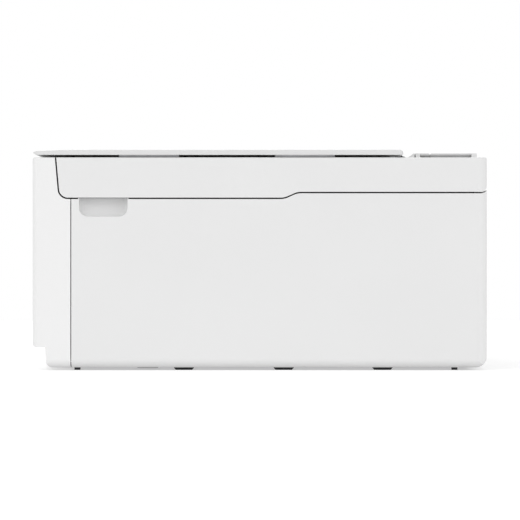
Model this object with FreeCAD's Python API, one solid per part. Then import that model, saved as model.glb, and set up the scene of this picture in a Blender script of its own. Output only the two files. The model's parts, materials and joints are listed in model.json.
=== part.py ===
import FreeCAD, Part
import math
import os

from FreeCAD import Vector

os.makedirs("parts", exist_ok=True)

# Compact all-in-one inkjet printer, in millimetres.
# +X is the right-hand side as one faces the front, -Y is the front, Z = 0 is the table.

# ---- overall form -------------------------------------------------------------------
WIDTH = 403.0
DEPTH = 315.0
RIM_Z = 147.5            # top of the body, under the document cover
FLOOR_Z = 1.9            # underside of the body
WALL = 2.2
TOP_EDGE_R = 1.5
FRONT_CORNER_R = 3.5     # upright corners, seen from above
REAR_CORNER_R = 9.0
SIDE_BOTTOM_R = 7.0      # long bottom edges
REAR_BOTTOM_R = 8.0
STEP_DEPTH = 8.6         # the foot of the front is set back by this
STEP_Z = 15.9
STEP_EDGE_R = 2.6
TOE_R = 4.0
LEAST_R = 0.4
PANEL_GAP = 0.6          # joint line between fixed covers
MOVE_GAP = 0.6           # round a lid, drawer or flap
SIDE_WRAP = 11.5         # how far the side covers wrap under and behind
BEZEL_DEPTH = 26.5       # front bezel, front to back

HALF_W = WIDTH / 2
FRONT = -DEPTH / 2
REAR = DEPTH / 2
BEZEL_Y = FRONT + BEZEL_DEPTH
WRAP_X = HALF_W - SIDE_WRAP
FLOOR_TOP = FLOOR_Z + WALL

# ---- seam under the scanner unit ------------------------------------------------------
SEAM_GAP = 1.0
SCANNER_HEIGHT = 27.9    # front part of the scanner unit, under its rim
SEAM_STEP = 4.0          # its underside rises by this towards the rear
SEAM_TOP_SETBACK = 16.4  # its front edge behind the printer's front, at the rim
SEAM_FOOT_SETBACK = 18.9
SEAM_CORNER_R = 6.0
SEAM_STEP_Y = 21.4       # middle of the ramp between the two heights
SEAM_STEP_RUN = 9.0
SEAM_STEP_R = 12.0
HINGE_R = 4.5            # rounded rear foot of the scanner unit, about its hinge
LEDGE = 8.0              # inward rim of the body under the seam
TALL = RIM_Z + 60.0      # above everything

SEAM_Z = RIM_Z - SCANNER_HEIGHT
SEAM_REAR_Z = SEAM_Z + SEAM_STEP
CASE_FRONT_Y = FRONT + SEAM_FOOT_SETBACK + WALL
SCAN_HINGE_Y = REAR - HINGE_R
SCAN_HINGE_Z = SEAM_REAR_Z + HINGE_R

# ---- finger recesses in the side covers -----------------------------------------------
RECESS_Y0 = FRONT + 32.2
RECESS_LENGTH = 33.6
RECESS_HEIGHT = 13.2
RECESS_DEPTH = 9.0
RECESS_R = 6.0

# ---- paper cassette ---------------------------------------------------------------------
CASSETTE_TOP = 36.5
CASSETTE_LIFT = 0.5      # running gap under the cassette
CASSETTE_HALF = 118.0
CASSETTE_SIDE_TOP = 30.0
CASSETTE_WALL = 2.0
CASSETTE_REAR_GAP = 21.0  # behind the cassette, where the sheet turns upwards
CASSETTE_FRONT_WALL_Y = FRONT + 10.0
NOTCH_HALF = 20.0        # rear wall is cut away here for the pickup roller
NOTCH_Z = 16.0
BAY_GAP = 2.0
BAY_WALL_TOP = 44.0
OPENING_MARGIN = 3.8     # front opening wider than the cassette bay
GUIDE_FLOOR_GAP = 0.4
GUIDE_T = 2.0
GUIDE_H = 19.0
GUIDE_FOOT_T = 1.2
SIDE_GUIDE_GAP = 7.5     # side guide, spread for the widest sheet, from the cassette wall
SIDE_GUIDE_Y0 = -70.0
SIDE_GUIDE_Y1 = 10.0
END_GUIDE_HALF = 24.0
END_GUIDE_H = 8.0
LIFT_HALF = 62.0
LIFT_Y0 = 34.0
LIFT_T = 1.2
LIFT_RISE = 1.0          # lift plate above the guides' floor gap
LIFT_END_GAP = 6.0
CASSETTE_FLOOR_Z = FLOOR_TOP + CASSETTE_LIFT
CASSETTE_FLOOR_TOP = CASSETTE_FLOOR_Z + CASSETTE_WALL
CASSETTE_REAR_Y = REAR - CASSETTE_REAR_GAP
BAY_IN = CASSETTE_HALF + BAY_GAP
BAY_OUT = BAY_IN + WALL
OPENING_HALF = BAY_OUT + OPENING_MARGIN
SIDE_GUIDE_X = CASSETTE_HALF - CASSETTE_WALL - SIDE_GUIDE_GAP

# ---- paper output -----------------------------------------------------------------------
TRAY_Z = CASSETTE_TOP + 1.5
TRAY_T = 4.0
TRAY_HALF = 110.0
TRAY_LENGTH = 101.0
TRAY_LIP_T = WALL
SHELF_HALF = 60.0
SHELF_T = 1.2
SHELF_LENGTH = 82.0
SHELF_GAP = 0.3
OUTPUT_COVER_Z0 = TRAY_Z + TRAY_T + 2.6
OUTPUT_COVER_T = 2.4
OUTPUT_PIN_RISE = 1.6
PIN_R = 0.8
PIN_FIT = 0.06
PIN_LENGTH = 2.2

# ---- control panel ------------------------------------------------------------------------
PANEL_HALF = 120.0
PANEL_DROP = 9.5         # panel below the rim
PANEL_HEIGHT = 46.0
PANEL_Z1 = RIM_Z - PANEL_DROP
PANEL_Z0 = PANEL_Z1 - PANEL_HEIGHT
PANEL_T = 2.4
PANEL_RECESS = 0.8
WINDOW_HALF = 37.0
WINDOW_EDGE = 8.0        # window in from the panel's edges
WINDOW_Z0 = PANEL_Z0 + WINDOW_EDGE
WINDOW_Z1 = PANEL_Z1 - WINDOW_EDGE
WINDOW_GAP = 0.15
BUTTON_PROUD = 0.6
BUTTON_GAP = 0.35
BUTTON_FLANGE = 1.2
BUTTON_TRAVEL = 1.0
OUTPUT_COVER_DROP = 6.6  # output cover below the panel
OUTPUT_COVER_Z1 = PANEL_Z0 - OUTPUT_COVER_DROP
# name: centre x, half width, half height
BUTTONS = {
    "power_button": (-98.0, 6.0, 6.0),
    "home_button": (-58.0, 7.0, 5.0),
    "ok_button": (56.0, 7.0, 7.0),
    "stop_button": (80.0, 7.0, 5.0),
    "start_button": (103.0, 8.0, 8.0),
}

# ---- print engine ---------------------------------------------------------------------------
SHEET = 1.2              # thickness of the sheet-metal frame
RAIL_Y = 27.0
RAIL_DROP = 11.6         # rail below the seam
RAIL_FLANGE = 8.2
RAIL_END_GAP = 7.5       # rail end to the outside of the printer
RAIL_FOOT_Z = 47.0
CHEEK_TOP = 68.5
CHEEK_FRONT_Y = -60.0
LEFT_CHEEK_INSET = 12.0  # cheeks in from the rail's ends
RIGHT_CHEEK_INSET = 4.0
MID_CHEEK_GAP = 4.0      # middle cheek to the cleaning station
FEED_Y = 22.0
FEED_Z = 61.5
ROLLER_R = 6.0
SHAFT_R = 3.0
SHAFT_FIT = 0.08
ROLLER_COUNT = 4
ROLLERS_X0 = -122.0      # left end of the rubber
ROLLERS_END_GAP = 6.0
ROLLER_LENGTH = 38.0
GEAR_MODULE = 0.8
FEED_TEETH = 40
IDLER_TEETH = 44
EJECT_TEETH = 32
PINION_TEETH = 12
GEAR_WIDTH = 6.0
GEAR_CHEEK_GAP = 2.5
PINION_ANGLE = -120.0    # where the pinion meets the feed gear
MOTOR_R = 11.0
MOTOR_LENGTH = 28.0
PLATEN_TOP = FEED_Z + ROLLER_R
PLATEN_HALF_GAP = 2.0
RIB_PITCH = 14.0

RAIL_TOP = SEAM_Z - RAIL_DROP
RAIL_HALF = HALF_W - RAIL_END_GAP
LEFT_CHEEK_X = -RAIL_HALF + LEFT_CHEEK_INSET
RIGHT_CHEEK_X = RAIL_HALF - RIGHT_CHEEK_INSET
GEAR_X = LEFT_CHEEK_X - GEAR_CHEEK_GAP - GEAR_WIDTH
IDLER_Y = FEED_Y - GEAR_MODULE * (FEED_TEETH + IDLER_TEETH) / 2
EJECT_Y = IDLER_Y - GEAR_MODULE * (IDLER_TEETH + EJECT_TEETH) / 2
PINION_REACH = GEAR_MODULE * (FEED_TEETH + PINION_TEETH) / 2
PINION_Y = FEED_Y + PINION_REACH * math.cos(math.radians(PINION_ANGLE))
PINION_Z = FEED_Z + PINION_REACH * math.sin(math.radians(PINION_ANGLE))

# ---- carriage ------------------------------------------------------------------------------
CARRIAGE_HOME_GAP = 59.5  # centre of the carriage at home to the outside
CARRIAGE_X = HALF_W - CARRIAGE_HOME_GAP
CARRIAGE_HALF = 50.0
CARRIAGE_Y0 = -58.0
CARRIAGE_Y1 = 18.5
CARRIAGE_LIFT = 8.5      # underside of the carriage above the platen ribs
CARRIAGE_DROP = 8.0      # its top below the rail's top
CARRIAGE_Z = PLATEN_TOP + CARRIAGE_LIFT
CARRIAGE_TOP = RAIL_TOP - CARRIAGE_DROP
CARRIAGE_WALL = 2.5
HEAD_HALF = 34.0
HEAD_Y0 = -28.0
HEAD_Y1 = 8.0
HEAD_LIFT = 2.5          # nozzle face above the platen ribs
TANK_WIDTHS = (24.0, 16.0, 16.0, 16.0, 16.0)
TANK_GAP = 1.0
TANK_DROP = 7.1          # tanks below the seam
TANK_TOP = SEAM_Z - TANK_DROP
BELT_DROP = 16.0         # belt's middle below the rail's top
BELT_Z = RAIL_TOP - BELT_DROP
BELT_R = 7.0
BELT_T = 1.2
BELT_WIDTH = 4.0
BELT_Y = 20.5
PULLEY_INSET = 10.0      # pulley centres in from the rail's ends
PULLEY_X = RAIL_HALF - PULLEY_INSET
PULLEY_FIT = 0.1
PULLEY_FLANGE = 0.8
JAW_GAP = 0.3
JAW_HALF = 10.0
JAW_T = 1.9
HOOK_HALF = 30.0
HOOK_GAP = 0.4

# ---- maintenance station ---------------------------------------------------------------------
STATION_LEFT = 26.0      # station to each side of the parked carriage's centre
STATION_RIGHT = 44.0
STATION_X0 = CARRIAGE_X - STATION_LEFT
STATION_X1 = CARRIAGE_X + STATION_RIGHT
MID_CHEEK_X = STATION_X0 - MID_CHEEK_GAP
STATION_Y0 = -50.0
STATION_Y1 = 14.0
STATION_Z0 = 46.0
STATION_Z1 = 66.0
CAP_GAP = 0.4
CAP_HALF = 22.0
CAP_T = 5.6
CAP_WALL = 2.0
WELL_DEPTH = 13.0

# ---- scanner unit --------------------------------------------------------------------------
COVER_HALF = 118.0       # half width of the rear feed covers
HUMP_TOP = RIM_Z + 4.7   # ridge and rear covers above the rim
GLASS_HALF = 152.0
GLASS_SETBACK = 3.4      # glass opening behind the case's front wall
GLASS_Y0 = CASE_FRONT_Y + GLASS_SETBACK
GLASS_LENGTH = 218.0
GLASS_T = 3.0
GLASS_MARGIN = 5.0
BASE_T = 2.0
CASE_FIT = 0.3
SENSOR_WIDTH = 16.0
SENSOR_X = -152.0
SENSOR_T = 10.5
SENSOR_DROP = 0.5
ROD_R = 2.5
ROD_FIT = 0.06
ROD_Y = -24.0
ROD_Z = SEAM_Z + 8.0
ROD_HALF = 165.0
ROD_POST = 6.0
HOPPER_GAP = 0.3         # rear covers to the walls of their opening
HOPPER_HALF = COVER_HALF + HOPPER_GAP
HOPPER_Y0 = REAR - 45.0
HOPPER_Y1 = REAR - 3.1
CHUTE_WALL = 1.6
SLOT_Y0 = HOPPER_Y0 + 6.0
SLOT_Y1 = HOPPER_Y1 - 6.0
HINGE_EAR_INSET = 23.5   # hinge ears in from the printer's side
HINGE_EAR_X = HALF_W - HINGE_EAR_INSET
HINGE_EAR_T = 4.0
HINGE_PIN_R = 2.0
HINGE_PIN_FIT = 0.06
KNUCKLE_LENGTH = 9.0
KNUCKLE_R = 2.9
EAR_GAP = 1.0

# ---- document cover -------------------------------------------------------------------------
LID_INSET = 0.3
LID_GAP = 1.7            # cover above the rim
LID_T = 3.6
LID_Z0 = RIM_Z + LID_GAP
LID_Z1 = LID_Z0 + LID_T
LID_BACK = 58.2          # rear edge of the cover, in front of the printer's rear
LID_NOSE_DROP = 1.3
LID_NOSE_RUN = 25.0
LID_BEVEL = 3.6
LID_BEVEL_RISE = 1.0
LID_CORNER_R = 4.0
LID_PIVOT_IN = 2.3
PAD_CLEAR = 0.3
PAD_SINK = 1.0
PAD_INSET = 2.0
BUMPER_H = 1.2
BUMPER_WIDTH = 4.0
BUMPER_LENGTH = 41.5
BUMPER_CENTRES = (-76.9, 31.2)
POST_X = 135.0
POST_HALF = 11.0
POST_T = 3.0
POST_FOOT_Z = SEAM_Z + 9.4
POST_FIT = 0.4
POST_PIN_R = 1.0
LID_Y0 = FRONT + LID_INSET
LID_Y1 = REAR - LID_BACK
LID_PIVOT_Y = LID_Y1 - LID_PIVOT_IN
LID_PIVOT_Z = (LID_Z0 + LID_Z1) / 2

# ---- rear feed covers ------------------------------------------------------------------------
REAR_COVER_Y0 = REAR - 36.2
REAR_COVER_Y1 = REAR - 3.8
REAR_COVER_T = 2.6
LUG_T = 3.0
FLAP_T = 2.2
EDGE_T = 0.9             # upright part of the covers' ends, above their undercut
REAR_GUIDE_X = 104.0
FLAP_Y0 = REAR - 47.1
FLAP_Y1 = REAR_COVER_Y0 - 0.7
FLAP_PIVOT_Y = FLAP_Y0 + 1.6
FLAP_PIVOT_Z = HUMP_TOP - FLAP_T / 2
REAR_PIVOT_Y = REAR_COVER_Y1 - 1.5
REAR_PIVOT_Z = HUMP_TOP - REAR_COVER_T / 2

# ---- rear of the body --------------------------------------------------------------------------
ACCESS_HALF = 100.0
ACCESS_Z0 = 34.0
ACCESS_DROP = 19.6       # rear door below the seam
ACCESS_Z1 = SEAM_REAR_Z - ACCESS_DROP
ACCESS_PIN_RISE = 1.2
BOARD_INSET = 17.5       # main board in from the printer's side
BOARD_T = 1.6
BOARD_X = -HALF_W + BOARD_INSET
BOARD_Y0 = 66.0
SOCKET_X = BOARD_X + 25.0  # mains inlet
SOCKET_Z = 29.0
SOCKET_HALF_W = 11.0
SOCKET_HALF_H = 8.5
SOCKET_DEPTH = 14.0
USB_X = BOARD_X + 11.7
USB_Z = 67.5
USB_HALF_W = 6.1
USB_HALF_H = 5.5
USB_LENGTH = 16.5
SOCKET_GAP = 0.4

# ---- screws and feet ----------------------------------------------------------------------------
SCREW_R = 3.0
SCREW_SHANK_R = 1.4
SCREW_SINK = 1.2
SCREW_FIT = 0.2
SCREW_Y0 = -100.0
SCREW_Y1 = 60.0
SKID_INSET = 20.5        # skids in from the printer's side
SKID_HALF = 6.0
SKID_CENTRES = (-52.9, 16.5, 85.2)
SKID_TOP_HALF = 7.4
SKID_FOOT_HALF = 5.7
STRIP_INSETS = (30.3, 22.0)  # small strips in from the front and from the rear
STRIP_HALF = 1.9
SKID_X = HALF_W - SKID_INSET
SCREW_XS = (SKID_X - 5.0, BAY_OUT + 4.3)
SCREW_PLACES = [(side * x, y) for x in SCREW_XS for side in (-1, 1) for y in (SCREW_Y0, SCREW_Y1)]

# ---- inner deck ---------------------------------------------------------------------------------
DECK_T = 2.0
DECK_DROP = 2.2          # inner deck below the ledge
DECK_FIT = 0.5
DECK_BAY_INSET = 13.5    # its opening over the carriage in from the printer's side
BAY_X = HALF_W - DECK_BAY_INSET

# ---- pickup -------------------------------------------------------------------------------------
PICKUP_Y = 96.0
PICKUP_Z = 31.0
PICKUP_R = 12.0
PICKUP_HALF = 10.0
PICKUP_GROOVES = 24
ARM_Y = 52.0
ARM_Z = 50.0
ARM_T = 2.5


# ======================================= shape helpers =========================================

def box(x0, x1, y0, y1, z0, z1):
    """Rectangular block between two corners."""
    return Part.makeBox(x1 - x0, y1 - y0, z1 - z0, Vector(x0, y0, z0))


def rod(axis, start, end, a, b, radius):
    """Cylinder along x, y or z; a and b are its two other coordinates, in order."""
    base = {"x": Vector(start, a, b), "y": Vector(a, start, b), "z": Vector(a, b, start)}[axis]
    way = {"x": Vector(1, 0, 0), "y": Vector(0, 1, 0), "z": Vector(0, 0, 1)}[axis]
    return Part.makeCylinder(radius, end - start, base, way)


def placed(axis, start, a, b):
    """A point of an outline, in the plane square to the axis."""
    return {"x": Vector(start, a, b), "y": Vector(a, start, b), "z": Vector(a, b, start)}[axis]


def prism(axis, start, end, corners):
    """Extrude a closed outline along an axis. Each corner is (a, b) or (a, b, radius)."""
    flat = [Vector(c[0], c[1], 0) for c in corners]
    radii = [c[2] if len(c) > 2 else 0.0 for c in corners]
    marks = []
    for i, here in enumerate(flat):
        if radii[i] <= 0:
            marks.append((here, None, here))
            continue
        back = (flat[i - 1] - here).normalize()
        ahead = (flat[(i + 1) % len(flat)] - here).normalize()
        half = back.getAngle(ahead) / 2
        cut = radii[i] / math.tan(half)
        inward = (back + ahead).normalize()
        middle = here + inward * (radii[i] / math.sin(half) - radii[i])
        marks.append((here + back * cut, middle, here + ahead * cut))
    edges = []
    for i, (first, middle, last) in enumerate(marks):
        if middle is not None:
            points = [placed(axis, start, p.x, p.y) for p in (first, middle, last)]
            edges.append(Part.Arc(*points).toShape())
        following = marks[(i + 1) % len(marks)][0]
        if (following - last).Length > 1e-6:
            ends = [placed(axis, start, p.x, p.y) for p in (last, following)]
            edges.append(Part.LineSegment(*ends).toShape())
    face = Part.Face(Part.Wire(edges))
    reach = end - start
    way = {"x": Vector(reach, 0, 0), "y": Vector(0, reach, 0), "z": Vector(0, 0, reach)}[axis]
    return face.extrude(way)


def round_box(axis, start, end, a0, a1, b0, b1, radius):
    """Block with its four long edges rounded."""
    return prism(axis, start, end, [(a0, b0, radius), (a1, b0, radius),
                                    (a1, b1, radius), (a0, b1, radius)])


def joined(shapes):
    """One solid from pieces that touch or overlap."""
    whole = shapes[0]
    for piece in shapes[1:]:
        whole = whole.fuse(piece)
    return whole.removeSplitter()


def group(shapes):
    """Separate solids kept together in one node."""
    return Part.makeCompound(shapes)


def cut_all(shape, tools):
    for tool in tools:
        shape = shape.cut(tool)
    return shape


def mirrored(shape):
    """The left-hand twin of a right-hand piece."""
    return shape.mirror(Vector(0, 0, 0), Vector(1, 0, 0))


def both_sides(shape):
    return [shape, mirrored(shape)]


def inner_r(radius, inset):
    return max(radius - inset, LEAST_R)


def gear(start, width, y, z, teeth, phase, bore):
    """Spur gear along X with straight-flanked teeth; phase is a tooth's angle in degrees."""
    pitch_r = GEAR_MODULE * teeth / 2
    root_r = pitch_r - 1.15 * GEAR_MODULE
    tip_r = pitch_r + 0.85 * GEAR_MODULE
    pitch = 360.0 / teeth
    corners = []
    for k in range(teeth):
        centre = phase + k * pitch
        for radius, share in ((root_r, -0.36), (tip_r, -0.13), (tip_r, 0.13), (root_r, 0.36)):
            turn = math.radians(centre + share * pitch)
            corners.append((y + radius * math.cos(turn), z + radius * math.sin(turn)))
    blank = prism("x", start, start + width, corners)
    return blank.cut(rod("x", start - 1, start + width + 1, y, z, bore)) if bore else blank


def meshed_phase(towards, phase, teeth, other_teeth):
    """Phase of a second gear that lies in a direction from a first and is in mesh with it."""
    return towards + 180.0 - teeth / other_teeth * (phase - towards) - 180.0 / other_teeth


IDLER_PHASE = meshed_phase(180.0, 0.0, FEED_TEETH, IDLER_TEETH)
EJECT_PHASE = meshed_phase(180.0, IDLER_PHASE, IDLER_TEETH, EJECT_TEETH)
PINION_PHASE = meshed_phase(PINION_ANGLE, 0.0, FEED_TEETH, PINION_TEETH)


# ======================================= body outlines ==========================================

def side_outline(inset, top):
    """The body seen from its side, set in by a wall."""
    front = FRONT + inset
    back = REAR - inset
    low = FLOOR_Z + inset
    toe = FRONT + STEP_DEPTH + inset
    return [(front, top, inner_r(TOP_EDGE_R, inset)),
            (front, STEP_Z + inset, inner_r(STEP_EDGE_R, inset)),
            (toe, STEP_Z + inset),
            (toe + 1.0, low, inner_r(TOE_R, inset)),
            (back, low, inner_r(REAR_BOTTOM_R, inset)),
            (back, top, inner_r(TOP_EDGE_R, inset))]


def plan_outline(inset):
    """The body seen from above."""
    side = HALF_W - inset
    front_r = inner_r(FRONT_CORNER_R, inset)
    rear_r = inner_r(REAR_CORNER_R, inset)
    return [(-side, FRONT + inset, front_r), (side, FRONT + inset, front_r),
            (side, REAR - inset, rear_r), (-side, REAR - inset, rear_r)]


def end_outline(inset, top):
    """The body seen from the front."""
    side = HALF_W - inset
    low = FLOOR_Z + inset
    low_r = inner_r(SIDE_BOTTOM_R, inset)
    top_r = inner_r(TOP_EDGE_R, inset)
    return [(-side, low, low_r), (side, low, low_r), (side, top, top_r), (-side, top, top_r)]


def envelope(inset):
    """Outer form of the whole body, set in by a wall all round."""
    top = RIM_Z - inset
    from_side = prism("x", -HALF_W, HALF_W, side_outline(inset, top))
    from_above = prism("z", FLOOR_Z, RIM_Z, plan_outline(inset))
    from_front = prism("y", FRONT, REAR, end_outline(inset, top))
    return from_side.common(from_above).common(from_front)


def scanner_region(grow):
    """Everything above the seam, grown outwards by a gap or a wall."""
    slope = (SEAM_FOOT_SETBACK - SEAM_TOP_SETBACK) / (RIM_Z - SEAM_Z)
    top_setback = SEAM_TOP_SETBACK - slope * (TALL - RIM_Z)
    corners = [(FRONT + top_setback - grow, TALL),
               (FRONT + SEAM_FOOT_SETBACK - grow, SEAM_Z - grow, SEAM_CORNER_R + grow),
               (SEAM_STEP_Y - SEAM_STEP_RUN / 2, SEAM_Z - grow, SEAM_STEP_R),
               (SEAM_STEP_Y + SEAM_STEP_RUN / 2, SEAM_REAR_Z - grow, SEAM_STEP_R),
               (REAR + grow, SEAM_REAR_Z - grow, HINGE_R + grow),
               (REAR + grow, TALL)]
    return prism("x", -HALF_W - 1, HALF_W + 1, corners)


OUTER = envelope(0)
SHELL = OUTER.cut(envelope(WALL))
BELOW_SEAM = scanner_region(SEAM_GAP)
SEAM_SKIN = scanner_region(SEAM_GAP + WALL).cut(BELOW_SEAM).common(OUTER)
SCANNER_OUTER = OUTER.common(scanner_region(0))
FAR = WIDTH + DEPTH      # longer than the printer in any direction


# ======================================= body covers ============================================

def front_opening():
    """Opening for the cassette, the output tray and the output cover."""
    top = OUTPUT_COVER_Z1 + MOVE_GAP
    low = box(-OPENING_HALF, OPENING_HALF, FRONT - 1, BEZEL_Y + 1, 0, OUTPUT_COVER_Z0 - MOVE_GAP)
    high = box(-OPENING_HALF, OPENING_HALF, FRONT - 1, FRONT + WALL + 1, FLOOR_TOP, top)
    return low.fuse(high)


def front_bezel():
    """U-shaped front frame with the shoulder in front of the scanner unit."""
    slab = box(-HALF_W, HALF_W, FRONT, BEZEL_Y - PANEL_GAP / 2, 0, RIM_Z)
    frame = SHELL.cut(BELOW_SEAM).fuse(SEAM_SKIN).common(slab)
    panel = box(-PANEL_HALF, PANEL_HALF, FRONT - 1, FRONT + WALL + 1, PANEL_Z0, PANEL_Z1)
    return cut_all(frame, [front_opening(), panel, output_pins(MOVE_GAP, PIN_FIT)])


def output_pins(extra, fit):
    """Pins at the lower edge of the output cover, or with a fit, the bores they turn in."""
    reach = OPENING_HALF - MOVE_GAP + PIN_LENGTH + extra
    return rod("x", -reach, reach, FRONT + WALL / 2, OUTPUT_COVER_Z0 + OUTPUT_PIN_RISE, PIN_R + fit)


def recess_outline(grow):
    """Scoop under the scanner's edge where a finger lifts it."""
    low = SEAM_Z - RECESS_HEIGHT - grow
    return [(RECESS_Y0 - grow, SEAM_Z), (RECESS_Y0 - grow, low, RECESS_R + grow),
            (RECESS_Y0 + RECESS_LENGTH + grow, low, RECESS_R + grow),
            (RECESS_Y0 + RECESS_LENGTH + grow, SEAM_Z)]


def side_cover():
    """Right-hand side cover with its ledge under the seam and its finger recess."""
    slab = box(WRAP_X, HALF_W, BEZEL_Y + PANEL_GAP / 2, REAR, 0, RIM_Z)
    ledge = SEAM_SKIN.common(box(HALF_W - LEDGE, HALF_W, FRONT, REAR, 0, RIM_Z))
    cover = SHELL.cut(BELOW_SEAM).fuse(ledge).common(slab)
    pocket = prism("x", HALF_W - RECESS_DEPTH - WALL, HALF_W - WALL / 2, recess_outline(WALL))
    scoop = prism("x", HALF_W - RECESS_DEPTH, HALF_W + 1, recess_outline(0))
    return cover.fuse(pocket.cut(BELOW_SEAM)).cut(scoop).removeSplitter()


def rear_cover():
    """Rear wall with the access opening and the socket holes."""
    reach = WRAP_X - PANEL_GAP
    slab = box(-reach, reach, REAR - SIDE_WRAP, REAR, 0, RIM_Z)
    wall = SHELL.cut(BELOW_SEAM).common(slab)
    access = box(-ACCESS_HALF - MOVE_GAP, ACCESS_HALF + MOVE_GAP, REAR - WALL - 1, REAR + 1,
                 ACCESS_Z0 - MOVE_GAP, ACCESS_Z1 + MOVE_GAP)
    pins = rod("x", -ACCESS_HALF - PIN_LENGTH - MOVE_GAP - 1, ACCESS_HALF + PIN_LENGTH + MOVE_GAP + 1,
               REAR - WALL / 2, ACCESS_Z0 + ACCESS_PIN_RISE, PIN_R + PIN_FIT)
    mains = box(SOCKET_X - SOCKET_HALF_W - SOCKET_GAP, SOCKET_X + SOCKET_HALF_W + SOCKET_GAP,
                REAR - FAR, REAR + 1,
                SOCKET_Z - SOCKET_HALF_H - SOCKET_GAP, SOCKET_Z + SOCKET_HALF_H + SOCKET_GAP)
    usb = box(USB_X - USB_HALF_W - SOCKET_GAP, USB_X + USB_HALF_W + SOCKET_GAP,
              REAR - FAR, REAR + 1,
              USB_Z - USB_HALF_H - SOCKET_GAP, USB_Z + USB_HALF_H + SOCKET_GAP)
    return cut_all(wall, [access, pins, mains, usb])


def base_case():
    """Floor pan with the two walls of the cassette bay."""
    reach = WRAP_X - PANEL_GAP
    slab = box(-reach, reach, BEZEL_Y + PANEL_GAP / 2, REAR - SIDE_WRAP - PANEL_GAP, 0, RIM_Z)
    floor = SHELL.common(slab).common(box(-HALF_W, HALF_W, FRONT, REAR, 0, FLOOR_TOP))
    bay = box(BAY_IN, BAY_OUT, BEZEL_Y + PANEL_GAP, CASSETTE_REAR_Y + BAY_GAP, FLOOR_Z, BAY_WALL_TOP)
    pan = joined([floor] + both_sides(bay))
    for x, y in SCREW_PLACES:
        pan = pan.cut(rod("z", 0, FLOOR_Z + SCREW_SINK, x, y, SCREW_R + SCREW_FIT))
        pan = pan.cut(rod("z", 0, FLOOR_TOP + 1, x, y, SCREW_SHANK_R + SCREW_FIT / 2))
    return pan


def case_screws():
    """Countersunk heads under the floor pan, each with a cross slot."""
    screws = []
    for x, y in SCREW_PLACES:
        head = rod("z", FLOOR_Z + SCREW_FIT, FLOOR_Z + SCREW_SINK, x, y, SCREW_R)
        shank = rod("z", FLOOR_Z + SCREW_FIT, FLOOR_TOP + 6, x, y, SCREW_SHANK_R)
        slots = [box(x - 2, x + 2, y - 0.3, y + 0.3, 0, FLOOR_Z + SCREW_FIT + 0.6),
                 box(x - 0.3, x + 0.3, y - 2, y + 2, 0, FLOOR_Z + SCREW_FIT + 0.6)]
        screws.append(cut_all(head.fuse(shank), slots))
    return group(screws)


def rubber_feet():
    """Tapered skids, small corner strips and one raised stop pad on each side."""
    feet = []
    for y in SKID_CENTRES:
        skid = prism("x", SKID_X - SKID_HALF, SKID_X + SKID_HALF,
                     [(y - SKID_TOP_HALF, FLOOR_Z), (y - SKID_FOOT_HALF, 0),
                      (y + SKID_FOOT_HALF, 0), (y + SKID_TOP_HALF, FLOOR_Z)])
        feet += both_sides(skid)
    for y in (FRONT + STRIP_INSETS[0], REAR - STRIP_INSETS[1]):
        strip = round_box("z", 0, FLOOR_Z, SKID_X - SKID_HALF, SKID_X + SKID_HALF,
                          y - STRIP_HALF, y + STRIP_HALF, 1.0)
        feet += both_sides(strip)
    pad = round_box("z", 1.0, FLOOR_Z, SKID_X - 26, SKID_X - 12, -85.8, -71.3, 2.0)
    return group(feet + both_sides(pad))


def inner_deck():
    """Inside cover seen when the scanner unit is lifted, open over the carriage."""
    top = SEAM_Z - SEAM_GAP - WALL - DECK_DROP
    side = HALF_W - WALL - DECK_FIT
    deck = prism("z", top - DECK_T, top, [(-side, BEZEL_Y + 2), (side, BEZEL_Y + 2),
                                          (side, REAR - WALL - DECK_FIT, REAR_CORNER_R),
                                          (-side, REAR - WALL - DECK_FIT, REAR_CORNER_R)])
    bay = round_box("z", 0, TALL, -BAY_X, BAY_X, CARRIAGE_Y0 - 8, RAIL_Y + SHEET + 32, 4.0)
    slot = round_box("z", 0, TALL, -HOPPER_HALF, HOPPER_HALF, SLOT_Y0, SLOT_Y1, 3.0)
    pockets = [prism("x", HALF_W - RECESS_DEPTH - WALL - DECK_FIT, HALF_W,
                     recess_outline(WALL + DECK_FIT))]
    pockets.append(mirrored(pockets[0]))
    ears = both_sides(box(HINGE_EAR_X - 3, HINGE_EAR_X + HINGE_EAR_T + 3,
                          SCAN_HINGE_Y - 12, REAR, 0, TALL))
    bridge = box(-BAY_X - 1, BAY_X + 1, RAIL_Y + SHEET + 12, RAIL_Y + SHEET + 14, top - DECK_T, top)
    return cut_all(deck, [bay, slot] + pockets + ears).fuse(bridge).removeSplitter()


# ======================================= front pieces ==========================================

def control_panel():
    """Recessed panel with a window opening and button holes."""
    y0 = FRONT + PANEL_RECESS
    half = PANEL_HALF - SOCKET_GAP
    plate = round_box("y", y0, y0 + PANEL_T, -half, half,
                      PANEL_Z0 + SOCKET_GAP, PANEL_Z1 - SOCKET_GAP, 1.5)
    window = round_box("y", y0 - 1, y0 + PANEL_T + 1, -WINDOW_HALF, WINDOW_HALF,
                       WINDOW_Z0, WINDOW_Z1, 2.0)
    return cut_all(plate, [window] + [button_shape(name, BUTTON_GAP, y0 - 1, y0 + PANEL_T + 1)
                                      for name in BUTTONS])


def button_shape(name, grow, y0, y1):
    """Pill or round outline of a button, between two depths."""
    x, half_w, half_h = BUTTONS[name]
    z = (PANEL_Z0 + PANEL_Z1) / 2
    radius = min(half_w, half_h) - 0.5
    return round_box("y", y0, y1, x - half_w - grow, x + half_w + grow,
                     z - half_h - grow, z + half_h + grow, radius + grow)


def button(name):
    """Button cap with a flange that keeps it behind the panel."""
    face = FRONT + PANEL_RECESS - BUTTON_PROUD
    back = FRONT + PANEL_RECESS + PANEL_T + 0.2
    cap = button_shape(name, 0, face, back + BUTTON_FLANGE)
    return cap.fuse(button_shape(name, BUTTON_FLANGE, back, back + BUTTON_FLANGE)).removeSplitter()


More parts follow.
